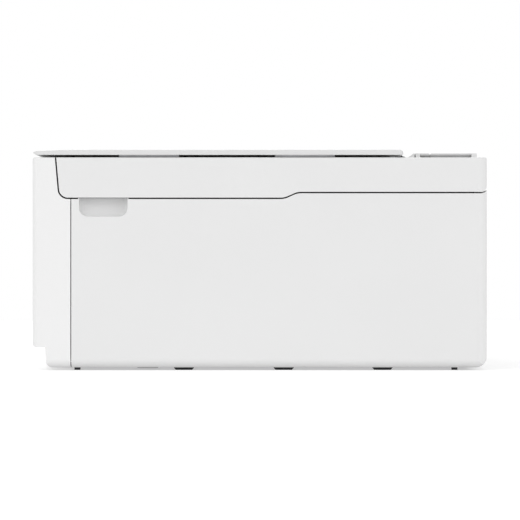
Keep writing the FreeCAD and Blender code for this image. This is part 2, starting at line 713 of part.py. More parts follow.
def display_window():
    """Clear pane over the display, with the display block behind it."""
    y0 = FRONT + PANEL_RECESS
    return round_box("y", y0 + 0.2, y0 + PANEL_T, -WINDOW_HALF + WINDOW_GAP, WINDOW_HALF - WINDOW_GAP,
                     WINDOW_Z0 + WINDOW_GAP, WINDOW_Z1 - WINDOW_GAP, 2.0)


def output_cover():
    """Flap over the paper exit, with pin stubs at its lower edge."""
    half = OPENING_HALF - MOVE_GAP
    flap = round_box("x", -half, half, FRONT, FRONT + OUTPUT_COVER_T,
                     OUTPUT_COVER_Z0, OUTPUT_COVER_Z1, LEAST_R)
    grip = rod("x", -14, 14, FRONT + OUTPUT_COVER_T + 3.0, OUTPUT_COVER_Z1, 4.2)
    return flap.cut(grip).fuse(output_pins(0, 0)).removeSplitter()


def cassette_tray():
    """Paper cassette whose front wall is the lower front of the printer."""
    half = OPENING_HALF - MOVE_GAP
    skin = prism("x", -half, half, side_outline(0, CASSETTE_TOP))
    skin = skin.cut(prism("x", -half, half, side_outline(WALL, TALL)))
    skin = skin.common(box(-half, half, FRONT, CASSETTE_FRONT_WALL_Y + 8, 0, CASSETTE_TOP))
    ends = prism("x", half - WALL, half, side_outline(0, CASSETTE_TOP))
    ends = ends.common(box(-half, half, FRONT, CASSETTE_FRONT_WALL_Y + 8, 0, CASSETTE_TOP))
    y0, y1 = CASSETTE_FRONT_WALL_Y, CASSETTE_REAR_Y
    wall = CASSETTE_WALL
    front = box(-CASSETTE_HALF, CASSETTE_HALF, y0, y0 + wall, FLOOR_Z, CASSETTE_SIDE_TOP)
    webs = [box(x - 1, x + 1, FRONT + 1, y0 + wall, STEP_Z + 1, CASSETTE_SIDE_TOP)
            for x in (-80.0, 0.0, 80.0)]
    floor = box(-CASSETTE_HALF, CASSETTE_HALF, y0, y1, CASSETTE_FLOOR_Z, CASSETTE_FLOOR_TOP)
    side = box(CASSETTE_HALF - wall, CASSETTE_HALF, y0, y1, CASSETTE_FLOOR_Z, CASSETTE_SIDE_TOP)
    rear = box(-CASSETTE_HALF, CASSETTE_HALF, y1 - wall, y1, CASSETTE_FLOOR_Z, CASSETTE_SIDE_TOP)
    notch = box(-NOTCH_HALF, NOTCH_HALF, y1 - wall - 1, y1 + 1, NOTCH_Z, CASSETTE_TOP)
    pieces = [skin, ends, mirrored(ends), front, floor, side, mirrored(side), rear.cut(notch)]
    return joined(pieces + webs)


def paper_guide():
    """Right-hand side guide of the cassette, an upright plate on a foot."""
    z0 = CASSETTE_FLOOR_TOP + GUIDE_FLOOR_GAP
    upright = box(SIDE_GUIDE_X, SIDE_GUIDE_X + GUIDE_T, SIDE_GUIDE_Y0, SIDE_GUIDE_Y1, z0, z0 + GUIDE_H)
    middle = (SIDE_GUIDE_Y0 + SIDE_GUIDE_Y1) / 2
    foot = box(SIDE_GUIDE_X - 22, SIDE_GUIDE_X + GUIDE_T, middle - 12, middle + 12, z0, z0 + GUIDE_FOOT_T)
    tab = box(SIDE_GUIDE_X - 5, SIDE_GUIDE_X + GUIDE_T, middle - 5, middle + 5, z0, z0 + GUIDE_H)
    return joined([upright, foot, tab])


def paper_end_guide():
    """Guide at the front of the cassette that sets the sheet's length."""
    z0 = CASSETTE_FLOOR_TOP + GUIDE_FLOOR_GAP
    y0 = CASSETTE_FRONT_WALL_Y + CASSETTE_WALL + 1.5
    upright = box(-END_GUIDE_HALF, END_GUIDE_HALF, y0, y0 + GUIDE_T, z0, z0 + END_GUIDE_H)
    foot = box(-END_GUIDE_HALF / 2, END_GUIDE_HALF / 2, y0, y0 + 22, z0, z0 + GUIDE_FOOT_T)
    return upright.fuse(foot).removeSplitter()


def lift_plate():
    """Sheet-metal plate that raises the stack to the pickup roller."""
    z0 = CASSETTE_FLOOR_TOP + GUIDE_FLOOR_GAP + LIFT_RISE
    y1 = CASSETTE_REAR_Y - CASSETTE_WALL - LIFT_END_GAP
    plate = round_box("z", z0, z0 + LIFT_T, -LIFT_HALF, LIFT_HALF, LIFT_Y0, y1, 4.0)
    pad = round_box("z", z0 + LIFT_T, z0 + LIFT_T + 0.6, -10, 10, PICKUP_Y - 14, PICKUP_Y + 14, 2.0)
    lug = rod("x", -LIFT_HALF, LIFT_HALF, LIFT_Y0 + 1.2, z0 + LIFT_T / 2, 1.2)
    return joined([plate, pad, lug])


def pickup_arm():
    """Swing arm on a cross shaft that lowers the pickup roller onto the stack."""
    run = Vector(PICKUP_Y - ARM_Y, PICKUP_Z - ARM_Z, 0)
    side = Vector(-run.y, run.x, 0).normalize() * 4.5
    start, end = Vector(ARM_Y, ARM_Z, 0), Vector(PICKUP_Y, PICKUP_Z, 0)
    outline = [(start + side), (start - side), (end - side), (end + side)]
    x0 = PICKUP_HALF + 1.0
    cheek = prism("x", x0, x0 + ARM_T, [(p.x, p.y) for p in outline])
    boss = rod("x", x0, x0 + ARM_T, PICKUP_Y, PICKUP_Z, 4.5)
    hub = rod("x", x0, x0 + ARM_T, ARM_Y, ARM_Z, 5.5)
    bore = rod("x", x0 - 1, x0 + ARM_T + 1, PICKUP_Y, PICKUP_Z, SHAFT_R + SHAFT_FIT)
    shaft = rod("x", -BAY_OUT - 12, BAY_OUT + 12, ARM_Y, ARM_Z, SHAFT_R)
    web = box(-x0 - 1, x0 + 1, ARM_Y + 12, ARM_Y + 15, ARM_Z - 9.5, ARM_Z - 3)
    right = joined([cheek, boss, hub]).cut(bore)
    return joined([shaft, right, mirrored(right), web])


def pickup_roller():
    """Rubber-tyred roller on a short axle with a gear-like rib pattern."""
    tyre = rod("x", -PICKUP_HALF, PICKUP_HALF, PICKUP_Y, PICKUP_Z, PICKUP_R)
    grooves = []
    for k in range(PICKUP_GROOVES):
        turn = 2 * math.pi * k / PICKUP_GROOVES
        y = PICKUP_Y + PICKUP_R * math.cos(turn)
        z = PICKUP_Z + PICKUP_R * math.sin(turn)
        grooves.append(rod("x", -PICKUP_HALF - 1, PICKUP_HALF + 1, y, z, 0.5))
    axle = rod("x", -PICKUP_HALF - 3.4, PICKUP_HALF + 3.4, PICKUP_Y, PICKUP_Z, SHAFT_R)
    return cut_all(tyre, grooves).fuse(axle).removeSplitter()


def output_tray():
    """Sliding tray under the paper exit, hollow for its shelf."""
    y0, y1 = FRONT, FRONT + TRAY_LENGTH
    plate = box(-TRAY_HALF, TRAY_HALF, y0 + 1, y1, TRAY_Z, TRAY_Z + TRAY_T)
    half = OPENING_HALF - MOVE_GAP
    lip = round_box("x", -half, half, y0, y0 + TRAY_LIP_T,
                    TRAY_Z - 0.5, TRAY_Z + TRAY_T + 1.0, LEAST_R)
    mid = TRAY_Z + TRAY_T / 2
    room = SHELF_T / 2 + SHELF_GAP
    slot = box(-SHELF_HALF - 0.6, SHELF_HALF + 0.6, y0 - 1, y0 + SHELF_LENGTH + 3, mid - room, mid + room)
    mouth = box(-SHELF_HALF - 0.6, SHELF_HALF + 0.6, y0 - 1, y0 + 1.4, TRAY_Z - 0.1, TRAY_Z + TRAY_T + 0.1)
    window = round_box("z", mid, TRAY_Z + TRAY_T + 1, -22, 22, y0 + 14, y0 + 30, 4.0)
    return cut_all(plate.fuse(lip), [slot, mouth, window]).removeSplitter()


def output_shelf():
    """Extension that pulls out of the output tray."""
    mid = TRAY_Z + TRAY_T / 2
    y0 = FRONT + 0.1
    plate = box(-SHELF_HALF, SHELF_HALF, y0, y0 + SHELF_LENGTH, mid - SHELF_T / 2, mid + SHELF_T / 2)
    lip = box(-SHELF_HALF, SHELF_HALF, y0, y0 + 1.0, TRAY_Z + 0.2, TRAY_Z + TRAY_T - 0.2)
    return plate.fuse(lip).removeSplitter()


# ======================================= print engine ===========================================

def chassis_frame():
    """Bent sheet-metal frame: carriage rail, three cheeks and two feet."""
    rail = box(-RAIL_HALF, RAIL_HALF, RAIL_Y, RAIL_Y + SHEET, CHEEK_TOP + 14, RAIL_TOP)
    low = box(LEFT_CHEEK_X, RAIL_HALF, RAIL_Y, RAIL_Y + SHEET, RAIL_FOOT_Z, RAIL_TOP)
    paper = box(ROLLERS_X0 - 4, MID_CHEEK_X - 2, RAIL_Y - 1, RAIL_Y + SHEET + 1,
                FEED_Z - 5, FEED_Z + ROLLER_R + 5)
    flange = box(-RAIL_HALF, RAIL_HALF, RAIL_Y + SHEET - RAIL_FLANGE, RAIL_Y + SHEET,
                 RAIL_TOP, RAIL_TOP + SHEET)
    feet = [box(BAY_OUT + 3, BAY_OUT + 25, RAIL_Y, RAIL_Y + SHEET, FLOOR_TOP, RAIL_FOOT_Z)]
    feet.append(mirrored(feet[0]))
    cheeks = [box(x, x + SHEET, CHEEK_FRONT_Y, RAIL_Y, z0, CHEEK_TOP)
              for x, z0 in ((LEFT_CHEEK_X, PINION_Z - 12), (MID_CHEEK_X, RAIL_FOOT_Z),
                            (RIGHT_CHEEK_X, RAIL_FOOT_Z))]
    frame = joined([rail, low, flange] + feet + cheeks).cut(paper)
    bores = [rod("x", LEFT_CHEEK_X - 1, MID_CHEEK_X + 3, y, FEED_Z, SHAFT_R + SHAFT_FIT)
             for y in (FEED_Y, EJECT_Y)]
    bores.append(rod("x", LEFT_CHEEK_X - 1, LEFT_CHEEK_X + SHEET + 1, PINION_Y, PINION_Z, SHAFT_R))
    bores.append(rod("x", LEFT_CHEEK_X - 1, LEFT_CHEEK_X + SHEET + 1, IDLER_Y, FEED_Z,
                     SHAFT_R + SHAFT_FIT))
    bores += [rod("y", RAIL_Y - 1, RAIL_Y + SHEET + 1, x, BELT_Z, HINGE_PIN_R + PIN_FIT)
              for x in (-PULLEY_X, PULLEY_X)]
    return cut_all(frame, bores)


def driven_roller(y, teeth, phase):
    """Shaft with rubber rollers and its gear."""
    start = GEAR_X - 1
    shaft = rod("x", start, MID_CHEEK_X + SHEET + 2, y, FEED_Z, SHAFT_R)
    span = MID_CHEEK_X - ROLLERS_END_GAP - ROLLERS_X0
    pitch = (span - ROLLER_LENGTH) / (ROLLER_COUNT - 1)
    tyres = [rod("x", ROLLERS_X0 + k * pitch, ROLLERS_X0 + k * pitch + ROLLER_LENGTH, y, FEED_Z, ROLLER_R)
             for k in range(ROLLER_COUNT)]
    collar = rod("x", LEFT_CHEEK_X + SHEET + 0.3, LEFT_CHEEK_X + SHEET + 3, y, FEED_Z, SHAFT_R + 2)
    wheel = gear(GEAR_X, GEAR_WIDTH, y, FEED_Z, teeth, phase, 0)
    return joined([shaft, wheel, collar] + tyres)


def idler_gear():
    """Gear between the two rollers, on its own stub."""
    wheel = gear(GEAR_X, GEAR_WIDTH, IDLER_Y, FEED_Z, IDLER_TEETH, IDLER_PHASE, 0)
    stub = rod("x", GEAR_X, LEFT_CHEEK_X + SHEET + 2, IDLER_Y, FEED_Z, SHAFT_R)
    return wheel.fuse(stub).removeSplitter()


def motor_pinion():
    """Pinion and shaft of the feed motor."""
    wheel = gear(GEAR_X, GEAR_WIDTH, PINION_Y, PINION_Z, PINION_TEETH, PINION_PHASE, 0)
    shaft = rod("x", GEAR_X, LEFT_CHEEK_X + SHEET + 12, PINION_Y, PINION_Z, 1.5)
    return wheel.fuse(shaft).removeSplitter()


def feed_motor():
    """Motor can on the left cheek."""
    x0 = LEFT_CHEEK_X + SHEET
    can = rod("x", x0, x0 + MOTOR_LENGTH, PINION_Y, PINION_Z, MOTOR_R)
    return can.cut(rod("x", x0 - 1, x0 + 14, PINION_Y, PINION_Z, 1.5 + PIN_FIT))


def print_platen():
    """Bed under the print head, with a rib every few millimetres."""
    x0 = -HOPPER_HALF - 30
    x1 = MID_CHEEK_X - PLATEN_HALF_GAP
    y0 = EJECT_Y + ROLLER_R + 3
    y1 = FEED_Y - ROLLER_R - 2
    bed = box(x0, x1, y0, y1, PLATEN_TOP - 12, PLATEN_TOP - 2.5)
    count = int((x1 - x0) // RIB_PITCH)
    ribs = [box(x0 + 4 + k * RIB_PITCH, x0 + 5.2 + k * RIB_PITCH, y0 + 1, y1 - 1,
                PLATEN_TOP - 3, PLATEN_TOP - 0.3) for k in range(count)]
    trough = box(x0 + 3, x1 - 3, HEAD_Y0 + 8, HEAD_Y1 - 8, PLATEN_TOP - 8, PLATEN_TOP)
    return joined([bed.cut(trough)] + [rib.cut(trough) for rib in ribs])


# ======================================= carriage ===============================================

def print_carriage():
    """Holder for the head and tanks, hooked over the rail and clamped to the belt."""
    x0, x1 = CARRIAGE_X - CARRIAGE_HALF, CARRIAGE_X + CARRIAGE_HALF
    wall = CARRIAGE_WALL
    shell = box(x0, x1, CARRIAGE_Y0, CARRIAGE_Y1, CARRIAGE_Z, CARRIAGE_TOP)
    room = box(x0 + wall, x1 - wall, CARRIAGE_Y0 + wall, CARRIAGE_Y1 - wall - 1,
               CARRIAGE_Z + wall, TALL)
    head = box(CARRIAGE_X - HEAD_HALF - 0.2, CARRIAGE_X + HEAD_HALF + 0.2,
               HEAD_Y0 - 0.2, HEAD_Y1 + 0.2, 0, CARRIAGE_TOP)
    hx0, hx1 = CARRIAGE_X - HOOK_HALF, CARRIAGE_X + HOOK_HALF
    over = RAIL_TOP + SHEET + HOOK_GAP
    behind = RAIL_Y + SHEET + HOOK_GAP
    neck = box(hx0, hx1, CARRIAGE_Y1 - wall, RAIL_Y + SHEET - RAIL_FLANGE - HOOK_GAP,
               CARRIAGE_TOP - 6, over + 2)
    bridge = box(hx0, hx1, CARRIAGE_Y1 - wall, behind + 2, over, over + 2)
    lip = box(hx0, hx1, behind, behind + 2, RAIL_TOP - 5, over + 2)
    run = BELT_Z - BELT_R - BELT_T / 2
    half = BELT_T / 2 + JAW_GAP
    jaws = [box(CARRIAGE_X - JAW_HALF, CARRIAGE_X + JAW_HALF, CARRIAGE_Y1 - 1,
                BELT_Y + BELT_WIDTH + 0.3, z0, z0 + JAW_T) for z0 in (run - half - JAW_T, run + half)]
    return joined([shell.cut(room).cut(head), neck, bridge, lip] + jaws)


def print_head():
    """Head block with its nozzle face just above the sheet."""
    face = PLATEN_TOP + HEAD_LIFT
    block = box(CARRIAGE_X - HEAD_HALF, CARRIAGE_X + HEAD_HALF, HEAD_Y0, HEAD_Y1, face, CARRIAGE_Z + 4)
    groove = box(CARRIAGE_X - HEAD_HALF + 8, CARRIAGE_X + HEAD_HALF - 8, HEAD_Y0 + 10, HEAD_Y1 - 10,
                 face - 1, face + 0.4)
    return block.cut(groove)


def ink_tanks():
    """Row of tanks standing in the carriage, the wide one for black."""
    total = sum(TANK_WIDTHS) + TANK_GAP * (len(TANK_WIDTHS) - 1)
    x = CARRIAGE_X - total / 2
    y0 = CARRIAGE_Y0 + CARRIAGE_WALL + 1
    y1 = CARRIAGE_Y1 - CARRIAGE_WALL - 2
    z0 = CARRIAGE_Z + 4.2
    tanks = []
    for width in TANK_WIDTHS:
        tanks.append(prism("x", x, x + width, [(y0, z0, 1), (y1, z0, 1), (y1, TANK_TOP - 6, 1),
                                               (y1 - 6, TANK_TOP, 2), (y0 + 16, TANK_TOP, 2),
                                               (y0 + 8, TANK_TOP - 5, 2), (y0, TANK_TOP - 5, 1)]))
        x += width + TANK_GAP
    return group(tanks)


def belt_loop(radius, y0, y1):
    """Stadium round both pulleys."""
    ends = [rod("y", y0, y1, x, BELT_Z, radius) for x in (-PULLEY_X, PULLEY_X)]
    return joined([box(-PULLEY_X, PULLEY_X, y0, y1, BELT_Z - radius, BELT_Z + radius)] + ends)


def carriage_belt():
    """Closed drive belt of the carriage."""
    outer = belt_loop(BELT_R + BELT_T, BELT_Y, BELT_Y + BELT_WIDTH)
    return outer.cut(belt_loop(BELT_R, BELT_Y - 1, BELT_Y + BELT_WIDTH + 1))


def carriage_pulley(x, shaft_end):
    """Flanged pulley with its shaft through the rail."""
    y0, y1 = BELT_Y - 0.2, BELT_Y + BELT_WIDTH + 0.2
    hub = rod("y", y0, y1, x, BELT_Z, BELT_R - PULLEY_FIT)
    flanges = [rod("y", y, y + PULLEY_FLANGE, x, BELT_Z, BELT_R + BELT_T + 0.6)
               for y in (y0 - PULLEY_FLANGE, y1)]
    shaft = rod("y", y0 - PULLEY_FLANGE, shaft_end, x, BELT_Z, HINGE_PIN_R)
    spokes = [rod("y", y0 - 2, y0 - 0.3, x + 4 * math.cos(k * math.pi / 2),
                  BELT_Z + 4 * math.sin(k * math.pi / 2), 1.0) for k in range(4)]
    return cut_all(joined([hub, shaft] + flanges), spokes)


def carriage_motor():
    """Motor can behind the rail, on the drive pulley's shaft."""
    y0 = RAIL_Y + SHEET
    can = rod("y", y0, y0 + MOTOR_LENGTH, -PULLEY_X, BELT_Z, MOTOR_R)
    return can.cut(rod("y", y0 - 1, y0 + 12, -PULLEY_X, BELT_Z, HINGE_PIN_R + PIN_FIT))


# ======================================= maintenance station ====================================

def cap_box(grow, z0, z1):
    return round_box("z", z0, z1, CARRIAGE_X - CAP_HALF - grow, CARRIAGE_X + CAP_HALF + grow,
                     HEAD_Y0 + 4 - grow, HEAD_Y1 - 4 + grow, 3.0 + grow)


def maintenance_frame():
    """Body of the cleaning station, with a well for the cap."""
    body = round_box("z", STATION_Z0, STATION_Z1, STATION_X0, STATION_X1, STATION_Y0, STATION_Y1, 2.0)
    well = cap_box(0.8, STATION_Z1 - WELL_DEPTH, STATION_Z1 + 1)
    tray = box(STATION_X0 + 4, STATION_X1 - 4, STATION_Y0 + 3, HEAD_Y0, STATION_Z1 - 6, STATION_Z1 + 1)
    return cut_all(body, [well, tray])


def cleaning_cap():
    """Rubber cap that lifts against the nozzle face."""
    top = PLATEN_TOP + HEAD_LIFT - CAP_GAP
    cap = cap_box(0, top - CAP_T, top)
    return cap.cut(cap_box(-CAP_WALL, top - CAP_T / 2, top + 1))


# ======================================= electrics ==============================================

def power_supply():
    """Enclosed supply at the left rear, with a row of vents."""
    y0, y1 = SCREW_Y1 + 6, REAR - SOCKET_DEPTH - 6
    unit = round_box("z", FLOOR_TOP + 0.4, 48.0, -WRAP_X, -BAY_OUT - 4, y0, y1, 2.0)
    vents = [box(-WRAP_X + 8, -BAY_OUT - 12, y0 + 10 + k * 7, y0 + 13 + k * 7, 46.8, 49) for k in range(8)]
    return cut_all(unit, vents)


def power_inlet():
    """Two-pin mains socket in the rear wall."""
    y1 = REAR - 0.4
    body = round_box("y", REAR - SOCKET_DEPTH - 5, y1, SOCKET_X - SOCKET_HALF_W, SOCKET_X + SOCKET_HALF_W,
                     SOCKET_Z - SOCKET_HALF_H, SOCKET_Z + SOCKET_HALF_H, 1.0)
    lobes = [rod("y", y1 - SOCKET_DEPTH + 2, y1 + 1, SOCKET_X + dx, SOCKET_Z, 4.2) for dx in (-4.3, 4.3)]
    waist = box(SOCKET_X - 4.3, SOCKET_X + 4.3, y1 - SOCKET_DEPTH + 2, y1 + 1,
                SOCKET_Z - 3.4, SOCKET_Z + 3.4)
    pins = [rod("y", y1 - SOCKET_DEPTH + 1, y1 - 3, SOCKET_X + dx, SOCKET_Z, 1.2) for dx in (-4.3, 4.3)]
    return joined([cut_all(body, lobes + [waist])] + pins)


def main_board():
    """Logic board on edge at the left, with its chips and headers."""
    y1 = REAR - 8
    board = box(BOARD_X, BOARD_X + BOARD_T, BOARD_Y0, y1, 56, 80)
    face = BOARD_X + BOARD_T
    chips = [box(face, face + 1.6, y, y + size, z, z + size)
             for y, z, size in ((BOARD_Y0 + 10, 60, 14), (BOARD_Y0 + 32, 61, 10),
                               (BOARD_Y0 + 32, 73, 5), (BOARD_Y0 + 48, 62, 7))]
    return joined([board] + chips)


def usb_socket():
    """Square data socket soldered to the board."""
    y1 = REAR - 0.4
    shell = box(USB_X - USB_HALF_W, USB_X + USB_HALF_W, y1 - USB_LENGTH, y1,
                USB_Z - USB_HALF_H, USB_Z + USB_HALF_H)
    room = box(USB_X - USB_HALF_W + 1, USB_X + USB_HALF_W - 1, y1 - USB_LENGTH + 4, y1 + 1,
               USB_Z - USB_HALF_H + 1, USB_Z + USB_HALF_H - 1)
    tongue = box(USB_X - 2.6, USB_X + 2.6, y1 - USB_LENGTH + 3, y1 - 1.5, USB_Z - 1.4, USB_Z + 1.4)
    return joined([shell.cut(room), tongue])


def rear_access_cover():
    """Rear door over the paper turn, with inner guide ribs."""
    y0, y1 = REAR - WALL, REAR
    door = round_box("x", -ACCESS_HALF, ACCESS_HALF, y0, y1, ACCESS_Z0, ACCESS_Z1, LEAST_R)
    pins = rod("x", -ACCESS_HALF - PIN_LENGTH, ACCESS_HALF + PIN_LENGTH,
               REAR - WALL / 2, ACCESS_Z0 + ACCESS_PIN_RISE, PIN_R)
    ribs = [box(x - 0.8, x + 0.8, y0 - 6, y0 + 0.5, ACCESS_Z0 + 16, ACCESS_Z1 - 12)
            for x in range(-84, 85, 24)]
    grip = rod("x", -16, 16, REAR + 1.4, ACCESS_Z1 - 4, 2.6)
    return joined([door.cut(grip), pins] + ribs)


# ======================================= scanner unit ===========================================

def hinge_stub(x0, x1, radius):
    return rod("x", x0, x1, SCAN_HINGE_Y, SCAN_HINGE_Z, radius)


def scanner_hinge_brackets():
    """Two steel ears with pins that carry the scanner unit."""
    x0, x1 = HINGE_EAR_X, HINGE_EAR_X + HINGE_EAR_T
    disc = hinge_stub(x0, x1, HINGE_R - 0.5)
    stem = box(x0, x1, SCAN_HINGE_Y - 3.6, SCAN_HINGE_Y + 1.5, RIM_Z - 55, SCAN_HINGE_Z)
    pin = hinge_stub(x0, x1 + EAR_GAP + KNUCKLE_LENGTH - 1, HINGE_PIN_R)
    return group(both_sides(joined([disc, stem, pin])))


def ear_slots():
    """Clearance in the scanner unit round the hinge ears."""
    slot = box(HINGE_EAR_X - EAR_GAP, HINGE_EAR_X + HINGE_EAR_T + EAR_GAP,
               SCAN_HINGE_Y - 9, REAR + 1, SEAM_REAR_Z - 5, SCAN_HINGE_Z + HINGE_R + 1)
    return both_sides(slot)


def hopper(z0, z1, grow):
    return round_box("z", z0, z1, -HOPPER_HALF - grow, HOPPER_HALF + grow,
                     HOPPER_Y0 - grow, HOPPER_Y1 + grow, 1.0 + grow)


def post_pocket(grow, z0, z1):
    """Upright pocket of a document cover post."""
    y0 = LID_Y1 + POST_FIT
    return box(POST_X - POST_HALF - grow, POST_X + POST_HALF + grow, y0 - grow, y0 + POST_T + grow, z0, z1)


def glass_box(grow, z0, z1):
    return round_box("z", z0, z1, -GLASS_HALF - grow, GLASS_HALF + grow,
                     GLASS_Y0 - grow, GLASS_Y0 + GLASS_LENGTH + grow, 1.5)


def scanner_top_case():
    """Outer skin of the scanner unit with its deck, ridge and hinge lugs."""
    skin = SHELL.common(scanner_region(0))
    front = SCANNER_OUTER.cut(scanner_region(-WALL)).common(
        box(-HALF_W, HALF_W, FRONT, CASE_FRONT_Y, SEAM_Z, RIM_Z))
    deck_z = RIM_Z - WALL
    ridge = prism("x", -HOPPER_HALF - 3, HOPPER_HALF + 3,
                  [(REAR - 51.2, deck_z + 1), (REAR - 51.2, HUMP_TOP - 2.1),
                   (REAR - 48.1, HUMP_TOP), (REAR - 47.6, HUMP_TOP), (REAR - 47.6, deck_z + 1)])
    lug_x = COVER_HALF + MOVE_GAP
    lugs = []
    for y0, y1 in ((FLAP_Y0 + 0.2, FLAP_Y0 + 3.4), (REAR_COVER_Y1 - 3.4, REAR_COVER_Y1 + 0.4)):
        lugs += both_sides(box(lug_x, lug_x + LUG_T, y0, y1, deck_z + 1, HUMP_TOP))
    sleeve = post_pocket(POST_FIT + 1.4, POST_FOOT_Z + 2, deck_z + 0.5)
    case = joined([skin, front, ridge] + lugs + both_sides(sleeve))
    openings = [glass_box(0, deck_z - 1, TALL), hopper(deck_z - 1, RIM_Z + 0.2, 0)]
    openings += both_sides(post_pocket(POST_FIT, POST_FOOT_Z, TALL))
    openings += ear_slots()
    knuckle_x = HINGE_EAR_X + HINGE_EAR_T
    openings += both_sides(hinge_stub(knuckle_x, knuckle_x + EAR_GAP + KNUCKLE_LENGTH + CASE_FIT,
                                      KNUCKLE_R + CASE_FIT))
    openings.append(rod("x", -FAR, FAR, REAR_PIVOT_Y, REAR_PIVOT_Z, PIN_R + PIN_FIT).common(
        box(-lug_x - PIN_LENGTH, lug_x + PIN_LENGTH, FRONT, REAR + 5, 0, TALL)))
    openings.append(rod("x", -FAR, FAR, FLAP_PIVOT_Y, FLAP_PIVOT_Z, PIN_R + PIN_FIT).common(
        box(-lug_x - PIN_LENGTH, lug_x + PIN_LENGTH, FRONT, REAR + 5, 0, TALL)))
    return cut_all(case, openings)


def scanner_base():
    """Tray under the scanner unit with the paper chute, rod posts and hinge knuckles."""
    room = envelope(WALL + CASE_FIT)
    region = scanner_region(-CASE_FIT).cut(scanner_region(-CASE_FIT - BASE_T))
    inside = box(-HALF_W, HALF_W, CASE_FRONT_Y + CASE_FIT, REAR, 0, SEAM_REAR_Z + 6)
    tray = room.common(region).common(inside)
    chute = hopper(SEAM_REAR_Z + 0.5, RIM_Z - WALL - CASE_FIT, CHUTE_WALL)
    chute = chute.cut(hopper(0, TALL, 0)).common(room)
    posts = [box(x - ROD_POST / 2, x + ROD_POST / 2, ROD_Y - 7, ROD_Y + 7, SEAM_Z + 1, ROD_Z + ROD_R + 2)
             for x in (-ROD_HALF + ROD_POST / 2, ROD_HALF - ROD_POST / 2)]
    kx0 = HINGE_EAR_X + HINGE_EAR_T + EAR_GAP
    knuckle = hinge_stub(kx0, kx0 + KNUCKLE_LENGTH, KNUCKLE_R)
    knuckle = knuckle.fuse(box(kx0, kx0 + KNUCKLE_LENGTH, SCAN_HINGE_Y - 12, SCAN_HINGE_Y,
                               SEAM_REAR_Z + 0.6, SCAN_HINGE_Z))
    base = joined([tray, chute] + posts + both_sides(knuckle))
    slot = round_box("z", 0, SEAM_REAR_Z + 3, -HOPPER_HALF + 4, HOPPER_HALF - 4, SLOT_Y0, SLOT_Y1, 3.0)
    pins = both_sides(hinge_stub(kx0 - 1, kx0 + KNUCKLE_LENGTH + 1, HINGE_PIN_R + HINGE_PIN_FIT))
    bore = rod("x", -ROD_HALF - 1, ROD_HALF + 1, ROD_Y, ROD_Z, ROD_R + 0.02)
    return cut_all(base, [slot, bore] + pins + ear_slots())


def platen_glass():
    """Copy glass held under the deck."""
    top = RIM_Z - WALL
    return glass_box(GLASS_MARGIN, top - GLASS_T, top)


def scan_guide_rod():
    """Polished rod that the scanning bar slides on."""
    return rod("x", -ROD_HALF, ROD_HALF, ROD_Y, ROD_Z, ROD_R)


def scan_sensor_bar():
    """Scanning bar with its lens strip and the block that slides on the rod."""
    top = RIM_Z - WALL - GLASS_T - SENSOR_DROP
    x0, x1 = SENSOR_X, SENSOR_X + SENSOR_WIDTH
    bar = round_box("y", GLASS_Y0 + 1, GLASS_Y0 + GLASS_LENGTH - 1, x0, x1, top - SENSOR_T, top, 1.0)
    slit = box(x0 + 6, x1 - 6, GLASS_Y0 + 3, GLASS_Y0 + GLASS_LENGTH - 3, top - 0.4, top + 1)
    block = box(x0 + 1, x1 - 1, ROD_Y - 10, ROD_Y + 10, ROD_Z - ROD_R - 1.5, top - SENSOR_T + 1)
    bore = rod("x", x0, x1, ROD_Y, ROD_Z, ROD_R + ROD_FIT)
    return cut_all(bar.fuse(block), [slit, bore])


# ======================================= document cover =========================================

def lid_outline():
    """Side outline of the document cover, with its dropped nose."""
    return [(LID_Y0, LID_Z0 + 1.0), (LID_Y0, LID_Z0 + 1.9, 0.6),
            (LID_Y0 + 2.2, LID_Z1 - LID_NOSE_DROP + 0.3, 2.0),
            (LID_Y0 + LID_NOSE_RUN, LID_Z1, 60.0), (LID_Y1, LID_Z1, 2.6),
            (LID_Y1, LID_Z0, 0.6), (LID_Y0 + LID_BEVEL, LID_Z0)]


def document_cover():
    """Flat cover over the glass, recessed for its pad and cut out for its hinge posts."""
    half = HALF_W - LID_INSET
    slab = prism("x", -half, half, lid_outline())
    plan = prism("z", LID_Z0, LID_Z1, [(-half, LID_Y0, LID_CORNER_R), (half, LID_Y0, LID_CORNER_R),
                                       (half, LID_Y1, LID_CORNER_R), (-half, LID_Y1, LID_CORNER_R)])
    ends = prism("y", LID_Y0, LID_Y1, [(-half, LID_Z0, 0.5), (half, LID_Z0, 0.5),
                                       (half, LID_Z1, 1.4), (-half, LID_Z1, 1.4)])
    seat = pad_box(0.3, LID_Z0 - 1, LID_Z0 + PAD_SINK)
    clear = MOVE_GAP
    notch = box(POST_X - POST_HALF - clear, POST_X + POST_HALF + clear, LID_Y1 - 6.8, LID_Y1 + 1,
                LID_Z0 - 1, LID_Z1 + 1)
    bore = rod("x", POST_X - POST_HALF - 6, POST_X + POST_HALF + 6, LID_PIVOT_Y, LID_PIVOT_Z,
               POST_PIN_R + PIN_FIT)
    return cut_all(slab.common(plan).common(ends), [seat] + both_sides(notch) + both_sides(bore))


def pad_box(grow, z0, z1):
    inset = PAD_INSET - grow
    return round_box("z", z0, z1, -GLASS_HALF + inset, GLASS_HALF - inset,
                     GLASS_Y0 + inset, GLASS_Y0 + GLASS_LENGTH - inset, 3.0)


def document_pad():
    """Foam pad that presses the page on the glass."""
    return pad_box(0, RIM_Z - WALL + PAD_CLEAR, LID_Z0 + PAD_SINK - 0.1)


def lid_bumpers():
    """Strips under the side edges of the cover that keep it off the deck."""
    strips = []
    outer = HALF_W - LID_INSET - 1.2
    for y in BUMPER_CENTRES:
        strip = box(outer - BUMPER_WIDTH, outer, y - BUMPER_LENGTH / 2, y + BUMPER_LENGTH / 2,
                    LID_Z0 - BUMPER_H, LID_Z0)
        strips += both_sides(strip)
    return group(strips)


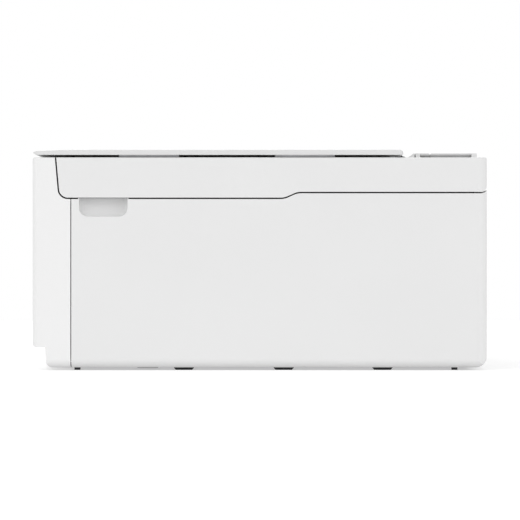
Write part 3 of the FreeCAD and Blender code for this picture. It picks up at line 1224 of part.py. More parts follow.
def hinge_posts():
    """Two posts that lift with the cover, each with its hinge pin."""
    x0, x1 = POST_X - POST_HALF, POST_X + POST_HALF
    back = LID_Y1 + POST_FIT
    top = LID_PIVOT_Z + 1.4
    outline = [(LID_PIVOT_Y - 1.6, top, 1.2), (LID_PIVOT_Y - 1.6, LID_PIVOT_Z - 1.5, 1.2),
               (back - 0.8, RIM_Z + 0.9, 0.5), (back, RIM_Z + 0.3), (back, POST_FOOT_Z + 1),
               (back + POST_T, POST_FOOT_Z + 1), (back + POST_T, LID_Z0 - 0.2, 0.8),
               (back + 0.6, LID_Z0 + 0.4, 0.8), (LID_Y1 - 0.4, top, 0.8)]
    pin = rod("x", x0 - 5, x1 + 5, LID_PIVOT_Y, LID_PIVOT_Z, POST_PIN_R)
    return group(both_sides(prism("x", x0, x1, outline).fuse(pin).removeSplitter()))


# ======================================= rear feed covers =======================================

def undercut(cover, thickness):
    """The cover with its two ends drawn in at 45 degrees below their upright edge."""
    bounds = cover.BoundBox
    rise = thickness - EDGE_T
    profile = prism("y", bounds.YMin - 1, bounds.YMax + 1,
                    [(-COVER_HALF, HUMP_TOP), (-COVER_HALF, HUMP_TOP - EDGE_T),
                     (-COVER_HALF + rise, HUMP_TOP - thickness), (COVER_HALF - rise, HUMP_TOP - thickness),
                     (COVER_HALF, HUMP_TOP - EDGE_T), (COVER_HALF, HUMP_TOP)])
    return cover.common(profile)


def feed_slot_cover():
    """Narrow flap in front of the rear tray cover."""
    flap = round_box("x", -COVER_HALF, COVER_HALF, FLAP_Y0, FLAP_Y1, HUMP_TOP - FLAP_T, HUMP_TOP, 0.6)
    flap = undercut(flap, FLAP_T)
    pins = rod("x", -COVER_HALF - PIN_LENGTH, COVER_HALF + PIN_LENGTH, FLAP_PIVOT_Y, FLAP_PIVOT_Z, PIN_R)
    return flap.fuse(pins).removeSplitter()


def rear_tray_cover():
    """Rear cover that folds back and holds the sheets up."""
    cover = prism("x", -COVER_HALF, COVER_HALF,
                  [(REAR_COVER_Y0, HUMP_TOP - REAR_COVER_T, 0.5), (REAR_COVER_Y0, HUMP_TOP, 0.8),
                   (REAR_COVER_Y1 - 1.2, HUMP_TOP, 0.8), (REAR_COVER_Y1, HUMP_TOP - 1.4, 0.6),
                   (REAR_COVER_Y1, HUMP_TOP - REAR_COVER_T, 0.8)])
    cover = undercut(cover, REAR_COVER_T)
    pins = rod("x", -COVER_HALF - PIN_LENGTH, COVER_HALF + PIN_LENGTH, REAR_PIVOT_Y, REAR_PIVOT_Z, PIN_R)
    grip = box(-20, 20, REAR_COVER_Y0 - 1, REAR_COVER_Y0 + 2.2,
               HUMP_TOP - REAR_COVER_T - 1, HUMP_TOP - REAR_COVER_T + 1.2)
    return cover.cut(grip).fuse(pins).removeSplitter()


def rear_guide():
    """Right-hand sheet guide inside the rear chute."""
    z0 = SEAM_REAR_Z + BASE_T + 1.5
    z1 = RIM_Z - WALL
    y1 = HOPPER_Y1 - 0.6
    upright = box(REAR_GUIDE_X, REAR_GUIDE_X + GUIDE_T, SLOT_Y0 + 1, y1, z0, z1)
    foot = box(REAR_GUIDE_X - 12, REAR_GUIDE_X + GUIDE_T, y1 - 1.4, y1, z0, z1 - 5)
    return upright.fuse(foot).removeSplitter()


# ======================================= the printer ============================================

PARTS = {
    "base_case": base_case(),
    "side_cover_right": side_cover(),
    "side_cover_left": mirrored(side_cover()),
    "rear_cover": rear_cover(),
    "front_bezel": front_bezel(),
    "control_panel": control_panel(),
    "display_window": display_window(),
    "inner_deck": inner_deck(),
    "rubber_feet": rubber_feet(),
    "case_screws": case_screws(),
    "chassis_frame": chassis_frame(),
    "print_platen": print_platen(),
    "carriage_belt": carriage_belt(),
    "carriage_motor": carriage_motor(),
    "feed_motor": feed_motor(),
    "power_supply": power_supply(),
    "power_inlet": power_inlet(),
    "main_board": main_board(),
    "usb_socket": usb_socket(),
    "maintenance_frame": maintenance_frame(),
    "scanner_hinge_brackets": scanner_hinge_brackets(),
    "rear_access_cover": rear_access_cover(),
    "output_cover": output_cover(),
    "output_tray": output_tray(),
    "output_shelf": output_shelf(),
    "cassette_tray": cassette_tray(),
    "lift_plate": lift_plate(),
    "paper_guide_right": paper_guide(),
    "paper_guide_left": mirrored(paper_guide()),
    "paper_end_guide": paper_end_guide(),
    "pickup_arm": pickup_arm(),
    "pickup_roller": pickup_roller(),
    "feed_roller": driven_roller(FEED_Y, FEED_TEETH, 0.0),
    "idler_gear": idler_gear(),
    "eject_roller": driven_roller(EJECT_Y, EJECT_TEETH, EJECT_PHASE),
    "motor_pinion": motor_pinion(),
    "print_carriage": print_carriage(),
    "print_head": print_head(),
    "ink_tanks": ink_tanks(),
    "carriage_drive_pulley": carriage_pulley(-PULLEY_X, RAIL_Y + SHEET + 10),
    "carriage_idler_pulley": carriage_pulley(PULLEY_X, RAIL_Y + SHEET + 2),
    "cleaning_cap": cleaning_cap(),
    "scanner_top_case": scanner_top_case(),
    "scanner_base": scanner_base(),
    "platen_glass": platen_glass(),
    "scan_sensor_bar": scan_sensor_bar(),
    "scan_guide_rod": scan_guide_rod(),
    "hinge_posts": hinge_posts(),
    "document_cover": document_cover(),
    "document_pad": document_pad(),
    "lid_bumpers": lid_bumpers(),
    "rear_tray_cover": rear_tray_cover(),
    "feed_slot_cover": feed_slot_cover(),
    "rear_guide_right": rear_guide(),
    "rear_guide_left": mirrored(rear_guide()),
}
PARTS.update({name: button(name) for name in BUTTONS})

for name, shape in PARTS.items():
    shape.exportStep(os.path.join("parts", name + ".step"))
    solids = len(shape.Solids)
    print(f"{name:26s} solids {solids}  volume {shape.Volume / 1000:9.2f} cm3  valid {shape.isValid()}")
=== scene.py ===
"""Finishes and fine pieces of a compact all-in-one inkjet printer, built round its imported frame."""

import json
from math import cos, pi, radians, sin

import bmesh
import bpy
from bpy.props import FloatProperty, FloatVectorProperty, IntProperty, PointerProperty
from mathutils import Euler, Matrix, Vector

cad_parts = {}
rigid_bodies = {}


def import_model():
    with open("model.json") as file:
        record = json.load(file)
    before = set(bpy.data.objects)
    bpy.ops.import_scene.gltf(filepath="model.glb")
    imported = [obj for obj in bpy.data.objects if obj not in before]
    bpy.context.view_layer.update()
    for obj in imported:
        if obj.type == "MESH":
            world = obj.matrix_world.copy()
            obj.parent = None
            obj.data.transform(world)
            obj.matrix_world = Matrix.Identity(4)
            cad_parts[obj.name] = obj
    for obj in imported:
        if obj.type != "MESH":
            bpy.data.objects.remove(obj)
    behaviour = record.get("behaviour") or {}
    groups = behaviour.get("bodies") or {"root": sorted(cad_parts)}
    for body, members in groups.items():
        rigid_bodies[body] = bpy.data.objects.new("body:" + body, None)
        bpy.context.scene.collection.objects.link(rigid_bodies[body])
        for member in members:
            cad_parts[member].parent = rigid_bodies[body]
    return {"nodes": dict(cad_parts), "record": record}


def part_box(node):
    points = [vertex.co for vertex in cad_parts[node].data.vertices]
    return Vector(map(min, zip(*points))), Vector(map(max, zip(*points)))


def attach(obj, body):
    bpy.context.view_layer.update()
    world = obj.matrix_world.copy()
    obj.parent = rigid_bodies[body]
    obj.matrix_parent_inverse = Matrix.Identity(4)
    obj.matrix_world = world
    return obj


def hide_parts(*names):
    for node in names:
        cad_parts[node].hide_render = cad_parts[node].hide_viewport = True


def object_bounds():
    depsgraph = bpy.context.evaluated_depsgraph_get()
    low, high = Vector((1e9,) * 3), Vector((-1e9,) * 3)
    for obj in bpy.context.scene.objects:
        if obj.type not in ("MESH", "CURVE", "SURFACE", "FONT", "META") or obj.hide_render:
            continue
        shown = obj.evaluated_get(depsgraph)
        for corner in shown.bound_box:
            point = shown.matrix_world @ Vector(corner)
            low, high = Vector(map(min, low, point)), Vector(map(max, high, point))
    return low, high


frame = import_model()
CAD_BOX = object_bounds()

bl_info = {
    "name": "Inkjet printer looks",
    "version": (1, 0, 0),
    "blender": (4, 5, 0),
    "location": "3D View > Sidebar > Printer",
    "description": "Finishes and fine pieces round a packed printer",
    "category": "Object",
}

MM = 0.001
LOOK_PREFIX = "printer_"
BODY_OF = {node: thing.parent.name.split(":", 1)[1] for node, thing in frame["nodes"].items()}
SLOT_OF = {row["node"]: row["material_slot"] for row in frame["record"]["subparts"]}


# === settings ===

def colour_property(label, about, default):
    return FloatVectorProperty(name=label, description=about, default=default, subtype="COLOR",
                               min=0.0, max=1.0)


def plain_property(label, about, default, **more):
    return FloatProperty(name=label, description=about, default=default, min=0.0, **more)


def length_property(label, about, default):
    return plain_property(label, about, default, unit="LENGTH", precision=5)


class PrinterColours(bpy.types.PropertyGroup):
    """Colours of the mouldings."""

    shell: colour_property("Shell", "Side, rear and scanner covers", (0.80, 0.80, 0.80))
    front: colour_property("Front", "Front bezel, output cover and tray", (0.86, 0.86, 0.86))
    cover: colour_property("Cover", "Document cover and rear feed covers", (0.74, 0.74, 0.74))
    panel: colour_property("Panel", "Control panel", (0.60, 0.61, 0.62))
    caps: colour_property("Button caps", "Buttons of the control panel", (0.34, 0.35, 0.37))
    base: colour_property("Base", "Base moulding and cassette", (0.28, 0.28, 0.29))
    inner: colour_property("Inside", "Dark mouldings round the print engine", (0.055, 0.055, 0.06))


class PrinterSizes(bpy.types.PropertyGroup):
    """Sizes of the fine pieces and of the surface grain."""

    edge: length_property("Edge rounding", "Radius broken on every outer edge", 0.25 * MM)
    grain: length_property("Grain", "Width of one grain of the textured mouldings", 0.55 * MM)
    grain_depth: length_property("Grain depth", "Height of that grain", 0.03 * MM)
    pad_edge: length_property("Pad edge", "Rounding of the document pad's lower edge", 1.4 * MM)
    tooth: length_property("Belt pitch", "Distance from one belt tooth to the next", 2.0 * MM)
    pinch: length_property("Roller", "Radius of the star wheels and of the pinch rollers", 3.0 * MM)
    wire: length_property("Spring wire", "Thickness of the spring wire", 0.5 * MM)
    star_pairs: IntProperty(name="Star wheel pairs", description="Pairs over each eject roller",
                            default=2, min=1)


class PrinterStage(bpy.types.PropertyGroup):
    """Floor, light and camera."""

    distance: length_property("Camera distance", "From the camera to the near side", 3.0)
    half_width: length_property("Half view", "Half the width seen at the near side", 180.0 * MM)
    height: length_property("Camera height", "Height of the camera above the table", 76.4 * MM)
    sky: plain_property("Surround", "Light that the white surround gives off", 0.56)
    key: plain_property("Key light", "Power of the main soft light", 44.0, unit="POWER")
    top: plain_property("Top light", "Power of the light above", 11.0, unit="POWER")
    fill: plain_property("Fill lights", "Power of each light from behind", 24.0, unit="POWER")
    floor: length_property("Floor", "Radius of the floor", 2.2)


# === node and finish helpers ===

class Socket:
    """A socket in a node tree. Arithmetic on it adds Math nodes, and add() any other node."""

    def __init__(self, tree, plug):
        self.tree = tree
        self.plug = plug

    def add(self, kind, settings, inputs, output=0):
        """Adds a node: its settings, then the values or links of its inputs."""
        node = self.tree.nodes.new(kind)
        for name, value in settings.items():
            setattr(node, name, value)
        for name, value in inputs.items():
            if isinstance(value, Socket):
                self.tree.links.new(value.plug, node.inputs[name])
            else:
                node.inputs[name].default_value = value
        return Socket(self.tree, node.outputs[output])

    def maths(self, operation, *values, kind="ShaderNodeMath"):
        return self.add(kind, {"operation": operation}, dict(enumerate(values)))

    def __add__(self, other):
        return self.maths("ADD", self, other)

    def __sub__(self, other):
        return self.maths("SUBTRACT", self, other)

    def __rsub__(self, other):
        return self.maths("SUBTRACT", other, self)

    def __mul__(self, other):
        return self.maths("MULTIPLY", self, other)

    def __gt__(self, other):
        return self.maths("GREATER_THAN", self, other)

    __radd__ = __add__
    __rmul__ = __mul__


class Finish:
    """A material: one Principled shader, with its steady values on its own sockets."""

    def __init__(self, name, **steady):
        material = bpy.data.materials.new(LOOK_PREFIX + name)
        material.use_nodes = True
        self.tree = material.node_tree
        self.shader = self.tree.nodes["Principled BSDF"]
        coordinates = self.tree.nodes.new("ShaderNodeTexCoord")
        self.place = Socket(self.tree, coordinates.outputs["Object"])
        for socket, value in steady.items():
            self.shader.inputs[socket.replace("_", " ")].default_value = value

    def feed(self, socket, source):
        self.tree.links.new(source.plug, self.shader.inputs[socket])

    def along(self, axis):
        """One coordinate, in metres."""
        return self.place.add("ShaderNodeSeparateXYZ", {}, {0: self.place}, "XYZ".index(axis))

    def noise(self, size, detail=2.0, stretch=None):
        """Noise, with its coordinates made longer or shorter along each axis."""
        where = self.place
        if stretch:
            where = where.maths("MULTIPLY", where, stretch, kind="ShaderNodeVectorMath")
        return self.place.add("ShaderNodeTexNoise", {},
                              {"Vector": where, "Scale": 1.0 / size, "Detail": detail})

    def cells(self, size, feature="F1"):
        return self.place.add("ShaderNodeTexVoronoi", {"feature": feature},
                              {"Vector": self.place, "Scale": 1.0 / size})

    def bump(self, height, depth):
        """Relief of a depth in metres, into the shader's normal."""
        relief = {"Height": height, "Distance": depth}
        self.feed("Normal", self.place.add("ShaderNodeBump", {}, relief))

    def mixed(self, first, second, share):
        """A colour between two; each is three numbers or a socket."""
        ends = [end if isinstance(end, Socket) else (*end, 1.0) for end in (first, second)]
        return self.place.add("ShaderNodeMix", {"data_type": "RGBA"},
                              {0: share, 6: ends[0], 7: ends[1]}, 2)

    def blend(self, first, second, share):
        """Base colour that goes from one colour to another."""
        self.feed("Base Color", self.mixed(first, second, share))


def shade(colour, factor):
    return tuple(min(1.0, c * factor) for c in colour)


FOOT_SHADE_HEIGHT = 8.0 * MM   # height over which painted shade darkens an outer moulding towards the table
# share of the colour that the painted shade takes away at the table
FOOT_SHADE_STRENGTH = 0.5
DRIFT_SIZE = 70 * MM     # size of the slow drift of tone and gloss in a moulding


def moulded(name, colour, roughness, grain, depth, coat, paint_foot_shade):
    """Injection-moulded plastic: spark-eroded grain, with slow drift of tone and gloss, and, if
    asked, painted shade that darkens it towards the table.
    """
    finish = Finish(name, Coat_Weight=coat, Coat_Roughness=0.12)
    spark = finish.noise(grain, 3.0)
    pits = finish.cells(2.4 * grain, "SMOOTH_F1")
    drift = finish.noise(DRIFT_SIZE, 1.0)
    tone = finish.mixed(shade(colour, 0.975), shade(colour, 1.02), drift * 0.8 + spark * 0.2)
    # Painted shade: the base colour darkens over the lowest few millimetres, in place of the shade on
    # the rounded lower edge
    if paint_foot_shade:
        low = finish.place.add("ShaderNodeMapRange", {},
                               {"Value": finish.along("Z"), "From Min": 0.0,
                                "From Max": FOOT_SHADE_HEIGHT, "To Min": 1.0, "To Max": 0.0})
        tone = finish.mixed(tone, shade(colour, 1 - FOOT_SHADE_STRENGTH), low * low)
    finish.feed("Base Color", tone)
    finish.feed("Roughness", roughness + (spark - 0.5) * 0.14 + (drift - 0.5) * 0.10)
    finish.bump(spark * 0.7 + pits * 0.3, depth)


def spangled_steel(name, colour, roughness):
    """Zinc-plated sheet: crystal spangle, rolling lines and a little haze."""
    finish = Finish(name, Metallic=1.0)
    spangle = finish.cells(5.0 * MM)
    rolling = finish.noise(0.5 * MM, 2.0, (0.04, 1.0, 1.0))
    haze = finish.noise(30 * MM, 3.0)
    finish.blend(shade(colour, 0.82), shade(colour, 1.08), spangle * 0.6 + rolling * 0.4)
    finish.feed("Roughness", roughness + spangle * 0.12 + haze * 0.1)
    finish.bump(rolling * 0.6 + spangle * 0.4, 0.02 * MM)


def ground_metal(name, colour, roughness, lay):
    """Ground or turned metal, with its marks laid across the axis that is drawn out."""
    finish = Finish(name, Metallic=1.0)
    marks = finish.noise(0.25 * MM, 3.0, lay)
    wear = finish.noise(14 * MM, 2.0)
    finish.blend(shade(colour, 0.88), shade(colour, 1.05), marks * 0.5 + wear * 0.5)
    finish.feed("Roughness", roughness + marks * 0.14 + wear * 0.06)
    finish.bump(marks, 0.008 * MM)


def soft_rubber(name, colour):
    """Matt rubber with a chalky bloom."""
    finish = Finish(name, IOR=1.45)
    grit = finish.noise(0.35 * MM, 4.0)
    bloom = finish.noise(9 * MM, 3.0)
    finish.blend(colour, shade(colour, 2.2), bloom * bloom)
    finish.feed("Roughness", 0.78 + (grit - 0.5) * 0.2)
    finish.bump(grit, 0.05 * MM)


def clear_pane(name, colour, alpha, roughness):
    """Glass or clear plastic, with faint wipe marks in its gloss."""
    finish = Finish(name, Alpha=alpha, Base_Color=(*colour, 1.0), Coat_Weight=0.6,
                    Coat_Roughness=0.02)
    wiped = finish.noise(18 * MM, 3.0, (0.35, 1.0, 1.0))
    finish.feed("Roughness", roughness + wiped * 0.05)


def laminated_foam(name, colour):
    """White film over open foam: soft dimples and a fine cell pattern."""
    finish = Finish(name, Sheen_Weight=0.15, Sheen_Roughness=0.5)
    dimples = finish.cells(1.6 * MM, "SMOOTH_F1")
    fibre = finish.noise(0.5 * MM, 3.0)
    tone = finish.noise(45 * MM, 2.0)
    finish.blend(shade(colour, 0.955), colour, tone * 0.6 + dimples * 0.4)
    finish.feed("Roughness", 0.62 + fibre * 0.16)
    finish.bump(dimples * 0.7 + fibre * 0.3, 0.08 * MM)


def circuit_board(name, colour):
    """Solder-masked board with copper runs that show through the mask."""
    finish = Finish(name, Coat_Weight=0.5, Coat_Roughness=0.1)
    runs = finish.cells(2.6 * MM, "DISTANCE_TO_EDGE")
    copper = runs > 0.12
    weave = finish.noise(0.8 * MM, 2.0)
    finish.blend(shade(colour, 1.5), shade(colour, 0.85), copper * 0.8 + weave * 0.2)
    finish.feed("Roughness", 0.32 + weave * 0.1)
    finish.bump(1 - copper, 0.03 * MM)


def glowing(name, colour, strength):
    """A lit part of the display or a lamp, a little brighter in the middle of its grain."""
    finish = Finish(name, Emission_Strength=strength, Roughness=0.3)
    grid = finish.noise(0.6 * MM, 1.0)
    finish.blend(shade(colour, 0.9), colour, grid)
    finish.feed("Emission Color", finish.mixed(shade(colour, 0.92), colour, grid))


def marked_tape(name, pitch):
    """Clear encoder tape with fine dark lines."""
    finish = Finish(name, Roughness=0.25)
    across = finish.along("X") * (1.0 / pitch)
    line = across.maths("FRACT", across) > 0.5
    finish.blend((0.55, 0.56, 0.55), (0.05, 0.05, 0.05), line)
    finish.feed("Alpha", 0.35 + line * 0.5)


def pale_floor(name):
    """Even studio floor, faintly mottled and softly lit from below."""
    finish = Finish(name, Specular_IOR_Level=0.1, Emission_Color=(1.0, 1.0, 1.0, 1.0),
                    Emission_Strength=0.4)
    mottle = finish.noise(0.5, 2.0)
    finish.blend((0.66, 0.66, 0.66), (0.68, 0.68, 0.68), mottle)
    finish.feed("Roughness", 0.7 + mottle * 0.1)


# Plastics: colour or its setting, roughness, width and depth of grain against the settings', coat
MOULDINGS = {
    "white_shell": ("shell", 0.52, 1.0, 1.0, 0.0),
    "white_front": ("front", 0.44, 0.8, 0.6, 0.0),
    "white_cover": ("cover", 0.40, 0.8, 0.5, 0.0),
    "panel_grey": ("panel", 0.30, 1.0, 0.2, 0.3),
    "button_grey": ("caps", 0.38, 0.6, 0.4, 0.0),
    "base_grey": ("base", 0.55, 1.0, 1.0, 0.0),
    "inner_dark": ("inner", 0.55, 1.0, 1.0, 0.0),
    "carriage_black": ((0.028, 0.028, 0.03), 0.42, 1.0, 0.6, 0.0),
    "tank_black": ((0.035, 0.035, 0.04), 0.22, 2.0, 0.3, 0.3),
    "supply_black": ((0.03, 0.03, 0.03), 0.48, 1.0, 1.0, 0.0),
    "gear_nylon": ((0.74, 0.73, 0.68), 0.36, 2.0, 0.3, 0.0),
    "icon_white": ((0.82, 0.82, 0.82), 0.35, 1.0, 0.2, 0.0),
    "icon_dark": ((0.10, 0.10, 0.11), 0.35, 1.0, 0.2, 0.0),
    "tab_grey": ((0.30, 0.30, 0.31), 0.35, 1.0, 0.3, 0.0),
    "tab_cyan": ((0.01, 0.35, 0.62), 0.35, 1.0, 0.3, 0.0),
    "tab_magenta": ((0.60, 0.03, 0.25), 0.35, 1.0, 0.3, 0.0),
    "tab_yellow": ((0.80, 0.62, 0.03), 0.35, 1.0, 0.3, 0.0),
}
# Mouldings whose base colour takes painted shade towards the table
PAINTED_FOOT_SHADE = ("white_shell", "white_front")


def make_finishes(scene):
    """Every finish of the printer, each under the name of its slot."""
    sizes = scene.printer_sizes
    for name, (colour, roughness, width, height, coat) in MOULDINGS.items():
        if isinstance(colour, str):
            colour = tuple(getattr(scene.printer_colours, colour))
        moulded(name, colour, roughness, sizes.grain * width, sizes.grain_depth * height, coat,
                name in PAINTED_FOOT_SHADE)
    spangled_steel("sheet_steel", (0.60, 0.61, 0.60), 0.30)
    spangled_steel("motor_zinc", (0.50, 0.50, 0.51), 0.34)
    ground_metal("bright_steel", (0.72, 0.72, 0.72), 0.14, (1.0, 0.06, 0.06))
    ground_metal("usb_steel", (0.68, 0.68, 0.69), 0.22, (1.0, 0.1, 1.0))
    ground_metal("brass", (0.76, 0.58, 0.27), 0.20, (1.0, 0.1, 0.1))
    soft_rubber("rubber_dark", (0.028, 0.028, 0.03))
    soft_rubber("rubber_grey", (0.30, 0.30, 0.31))
    clear_pane("glass", (0.30, 0.36, 0.35), 0.15, 0.02)
    clear_pane("window_clear", (0.02, 0.022, 0.026), 0.55, 0.06)
    laminated_foam("pad_foam", (0.86, 0.86, 0.85))
    circuit_board("board_green", (0.02, 0.16, 0.07))
    glowing("screen_blue", (0.02, 0.07, 0.16), 0.6)
    glowing("screen_tile", (0.05, 0.22, 0.42), 0.9)
    glowing("screen_light", (0.75, 0.90, 1.0), 1.8)
    glowing("lamp_green", (0.25, 0.85, 0.35), 1.4)
    marked_tape("tape", 0.6 * MM)
    pale_floor("floor")


def finish(name):
    """A finish by the name of its slot; the frame's own plain materials keep the bare names."""
    return bpy.data.materials[LOOK_PREFIX + name]


# === mesh helpers ===

WELD = 1e-7    # corners nearer than this are one
SHARP = 35.0   # an edge stays sharp past this angle, in degrees
QUARTER = [radians(turn) for turn in range(0, 91, 15)]
CORNER_STEPS = 5


def placed(name, data):
    """A new object in the scene."""
    thing = bpy.data.objects.new(name, data)
    bpy.context.scene.collection.objects.link(thing)
    return thing


def settle(name, mesh, node, material, slot=None):
    """A mesh at the origin, in its finish, that rides with a CAD node; the slot it is given has no
    effect.
    """
    thing = placed(name, mesh)
    if not mesh.materials:
        mesh.materials.append(finish(material))
    body = BODY_OF[node]
    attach(thing, body)
    slot = slot or material
    slot in SLOT_OF.values()
    return thing


def mesh_from(name, build, angle=SHARP):
    """A mesh made by a function that fills a bmesh."""
    mesh = bpy.data.meshes.new(name)
    shape = bmesh.new()
    build(shape)
    bmesh.ops.remove_doubles(shape, verts=shape.verts, dist=WELD)
    bmesh.ops.recalc_face_normals(shape, faces=shape.faces)
    shape.to_mesh(mesh)
    shape.free()
    mesh.shade_smooth()
    mesh.set_sharp_from_angle(angle=radians(angle))
    return mesh


def piece(name, build, node, material, slot=None, angle=SHARP):
    """An added piece, made by a function, that rides with a CAD node."""
    return settle(name, mesh_from(name, build, angle), node, material, slot)


def block(shape, low, high, soft=0.3 * MM, steps=2):
    """Box between two corners with all its edges rounded."""
    low, high = Vector(low), Vector(high)
    place = Matrix.Translation((low + high) / 2) @ Matrix.Diagonal((*(high - low), 1.0))
    made = bmesh.ops.create_cube(shape, size=1.0, matrix=place)["verts"]
    edges = {edge for corner in made for edge in corner.link_edges}
    if soft > 0:
        bmesh.ops.bevel(shape, geom=list(edges), offset=soft, segments=steps, profile=0.5,
                        affect="EDGES", clamp_overlap=True)


def bridge(shape, first, second, closed=True):
    """Faces between two rows of corners."""
    for k in range(len(first) if closed else len(first) - 1):
        after = (k + 1) % len(first)
        shape.faces.new((first[k], first[after], second[after], second[k]))


def turned(shape, profile, steps):
    """Solid of revolution about X: profile lists (distance along X, radius) from end to end."""
    turns = [2 * pi * k / steps for k in range(steps)]
    rings = [[shape.verts.new((x, radius * cos(turn), radius * sin(turn)))
              for turn in turns] for x, radius in profile]
    for first, second in zip(rings, rings[1:]):
        bridge(shape, first, second)
    shape.faces.new(list(reversed(rings[0])))
    shape.faces.new(rings[-1])


def wheel(shape, radius, length, soft, steps):
    """Cylinder along X about the origin, with both rims rounded."""
    half = length / 2
    turned(shape, [(-half, radius - soft), (-half + soft * 0.3, radius - soft * 0.3),
                   (-half + soft, radius), (half - soft, radius),
                   (half - soft * 0.3, radius - soft * 0.3), (half, radius - soft)], steps)


def plate(shape, points, near, far, axis="Y"):
    """Flat outline across an axis, given thickness along it."""
    k = "XYZ".index(axis)
    front, back = [[shape.verts.new((*point[:k], at, *point[k:])) for point in points]
                   for at in (near, far)]
    shape.faces.new(front)
    shape.faces.new(list(reversed(back)))
    bridge(shape, back, front)


def arc_points(x, z, radius, start, end, steps):
    """Points along an arc in X and Z; angles in degrees."""
    turns = [radians(start + (end - start) * k / steps) for k in range(steps + 1)]
    return [(x + radius * cos(t), z + radius * sin(t)) for t in turns]


def round_rect(x, z, half_w, half_h, radius):
    """Outline of a rectangle with rounded corners."""
    points = []
    for sx, sz, start in ((1, 1, 0), (-1, 1, 90), (-1, -1, 180), (1, -1, 270)):
        cx, cz = x + sx * (half_w - radius), z + sz * (half_h - radius)
        points += arc_points(cx, cz, radius, start, start + 90, CORNER_STEPS)
    return points


def middle(node):
    low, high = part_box(node)
    return (low + high) / 2


# === geometry node helpers ===

def group_of(name, **kinds):
    """Starts a geometry node group, and gives back a socket for each of its inputs."""
    group = bpy.data.node_groups.new(name, "GeometryNodeTree")
    group.interface.new_socket("Geometry", in_out="OUTPUT", socket_type="NodeSocketGeometry")
    given = group.nodes.new("NodeGroupInput")
    labels = [label.replace("_", " ") for label in kinds]
    for label, kind in zip(labels, kinds.values()):
        group.interface.new_socket(label, in_out="INPUT", socket_type="NodeSocket" + kind)
    return [Socket(group, given.outputs[label]) for label in labels]


def close_group(geometry, material):
    """Ends a group in real, finished geometry."""
    real = geometry.add("GeometryNodeRealizeInstances", {}, {0: geometry})
    painted = real.add("GeometryNodeSetMaterial", {}, {"Geometry": real, "Material": material})
    result = painted.tree.nodes.new("NodeGroupOutput")
    painted.tree.links.new(painted.plug, result.inputs[0])


def rows_tree():
    """Copies of one piece in rows, each turned a little at random if asked."""
    piece, count, lines, start, step, line_step, spin, seed, material = group_of(
        "rows_of_pieces", Piece="Object", Count="Int", Rows="Int", Start="Vector", Step="Vector",
        Row_Step="Vector", Spin="Float", Seed="Int", Finish="Material")
    vector = "ShaderNodeVectorMath"
    index = count.add("GeometryNodeInputIndex", {}, {})
    place_in_row = index.maths("MODULO", index, count)
    row = index.maths("FLOOR", index.maths("DIVIDE", index, count))
    along = step.add(vector, {"operation": "SCALE"}, {0: step, "Scale": place_in_row})
    across = step.add(vector, {"operation": "SCALE"}, {0: line_step, "Scale": row})
    place = start.maths("ADD", start, along.maths("ADD", along, across, kind=vector), kind=vector)
    points = count.add("GeometryNodePoints", {}, {"Count": count * lines, "Position": place})
    turn = spin.add("FunctionNodeRandomValue", {"data_type": "FLOAT"},
                    {2: spin * -1.0, 3: spin, "Seed": seed}, 1)
    euler = turn.add("ShaderNodeCombineXYZ", {}, {"X": turn})
    rotation = euler.add("FunctionNodeEulerToRotation", {}, {0: euler})
    shape = piece.add("GeometryNodeObjectInfo", {}, {"Object": piece}, "Geometry")
    copies = shape.add("GeometryNodeInstanceOnPoints", {},
                       {"Points": points, "Instance": shape, "Rotation": rotation})
    close_group(copies, material)


def spring_tree():
    """A closed coil of round wire along X."""
    turns, radius, length, wire, start, material = group_of(
        "coil_spring", Turns="Float", Radius="Float", Length="Float", Wire_Radius="Float",
        Start="Vector", Finish="Material")
    coil = turns.add("GeometryNodeCurveSpiral", {},
                     {"Resolution": 14, "Rotations": turns, "Start Radius": radius,
                      "End Radius": radius, "Height": length})
    section = wire.add("GeometryNodeCurvePrimitiveCircle", {}, {"Resolution": 8, "Radius": wire})
    wound = coil.add("GeometryNodeCurveToMesh", {},
                     {"Curve": coil, "Profile Curve": section, "Fill Caps": True})
    laid = wound.add("GeometryNodeTransform", {},
                     {"Geometry": wound, "Translation": start,
                      "Rotation": Euler((0.0, radians(90), 0.0))})
    close_group(laid, material)


def grown(name, group, node, material, **inputs):
    """Runs a geometry node group, and keeps its result as a plain mesh that rides with a node."""
    holder = placed(name + "_holder", bpy.data.meshes.new(name))
    modifier = holder.modifiers.new("pieces", "NODES")
    modifier.node_group = bpy.data.node_groups[group]
    known = {item.name: item.identifier for item in modifier.node_group.interface.items_tree
             if item.in_out == "INPUT"}
    for label, value in dict(inputs, Finish=finish(material)).items():
        modifier[known[label.replace("_", " ")]] = value
    graph = bpy.context.evaluated_depsgraph_get()
    mesh = bpy.data.meshes.new_from_object(holder.evaluated_get(graph), depsgraph=graph)
    holder.modifiers.clear()
    bpy.data.objects.remove(holder)
    if not mesh.polygons:
        raise RuntimeError(f"{name} came out empty")
    mesh.name = name
    mesh.shade_smooth()
    mesh.set_sharp_from_angle(angle=radians(SHARP))
    settle(name, mesh, node, material)


def rows(name, build, node, material, count, start, step, lines=1, line_step=(0, 0, 0), spin=0.0,
         seed=1):
    """Copies of one small piece, which a function builds about the origin."""
    pattern = bpy.data.objects.new(name + "_pattern", mesh_from(name + "_pattern", build))
    grown(name, "rows_of_pieces", node, material, Piece=pattern, Count=count, Rows=lines,
          Start=start, Step=step, Row_Step=line_step, Spin=spin, Seed=seed)
    bpy.data.objects.remove(pattern)


# === operators ===

class FinishFrame(bpy.types.Operator):
    """Makes every finish, and gives each CAD node the one of its slot"""

    bl_idname = "printer.finish_frame"
    bl_label = "Finish the frame"

    def execute(self, context):
        make_finishes(context.scene)
        rows_tree()
        spring_tree()
        for node, thing in frame["nodes"].items():
            for place in thing.material_slots:
                place.material = finish("rubber_grey" if node == "lid_bumpers" else SLOT_OF[node])
        return {"FINISHED"}


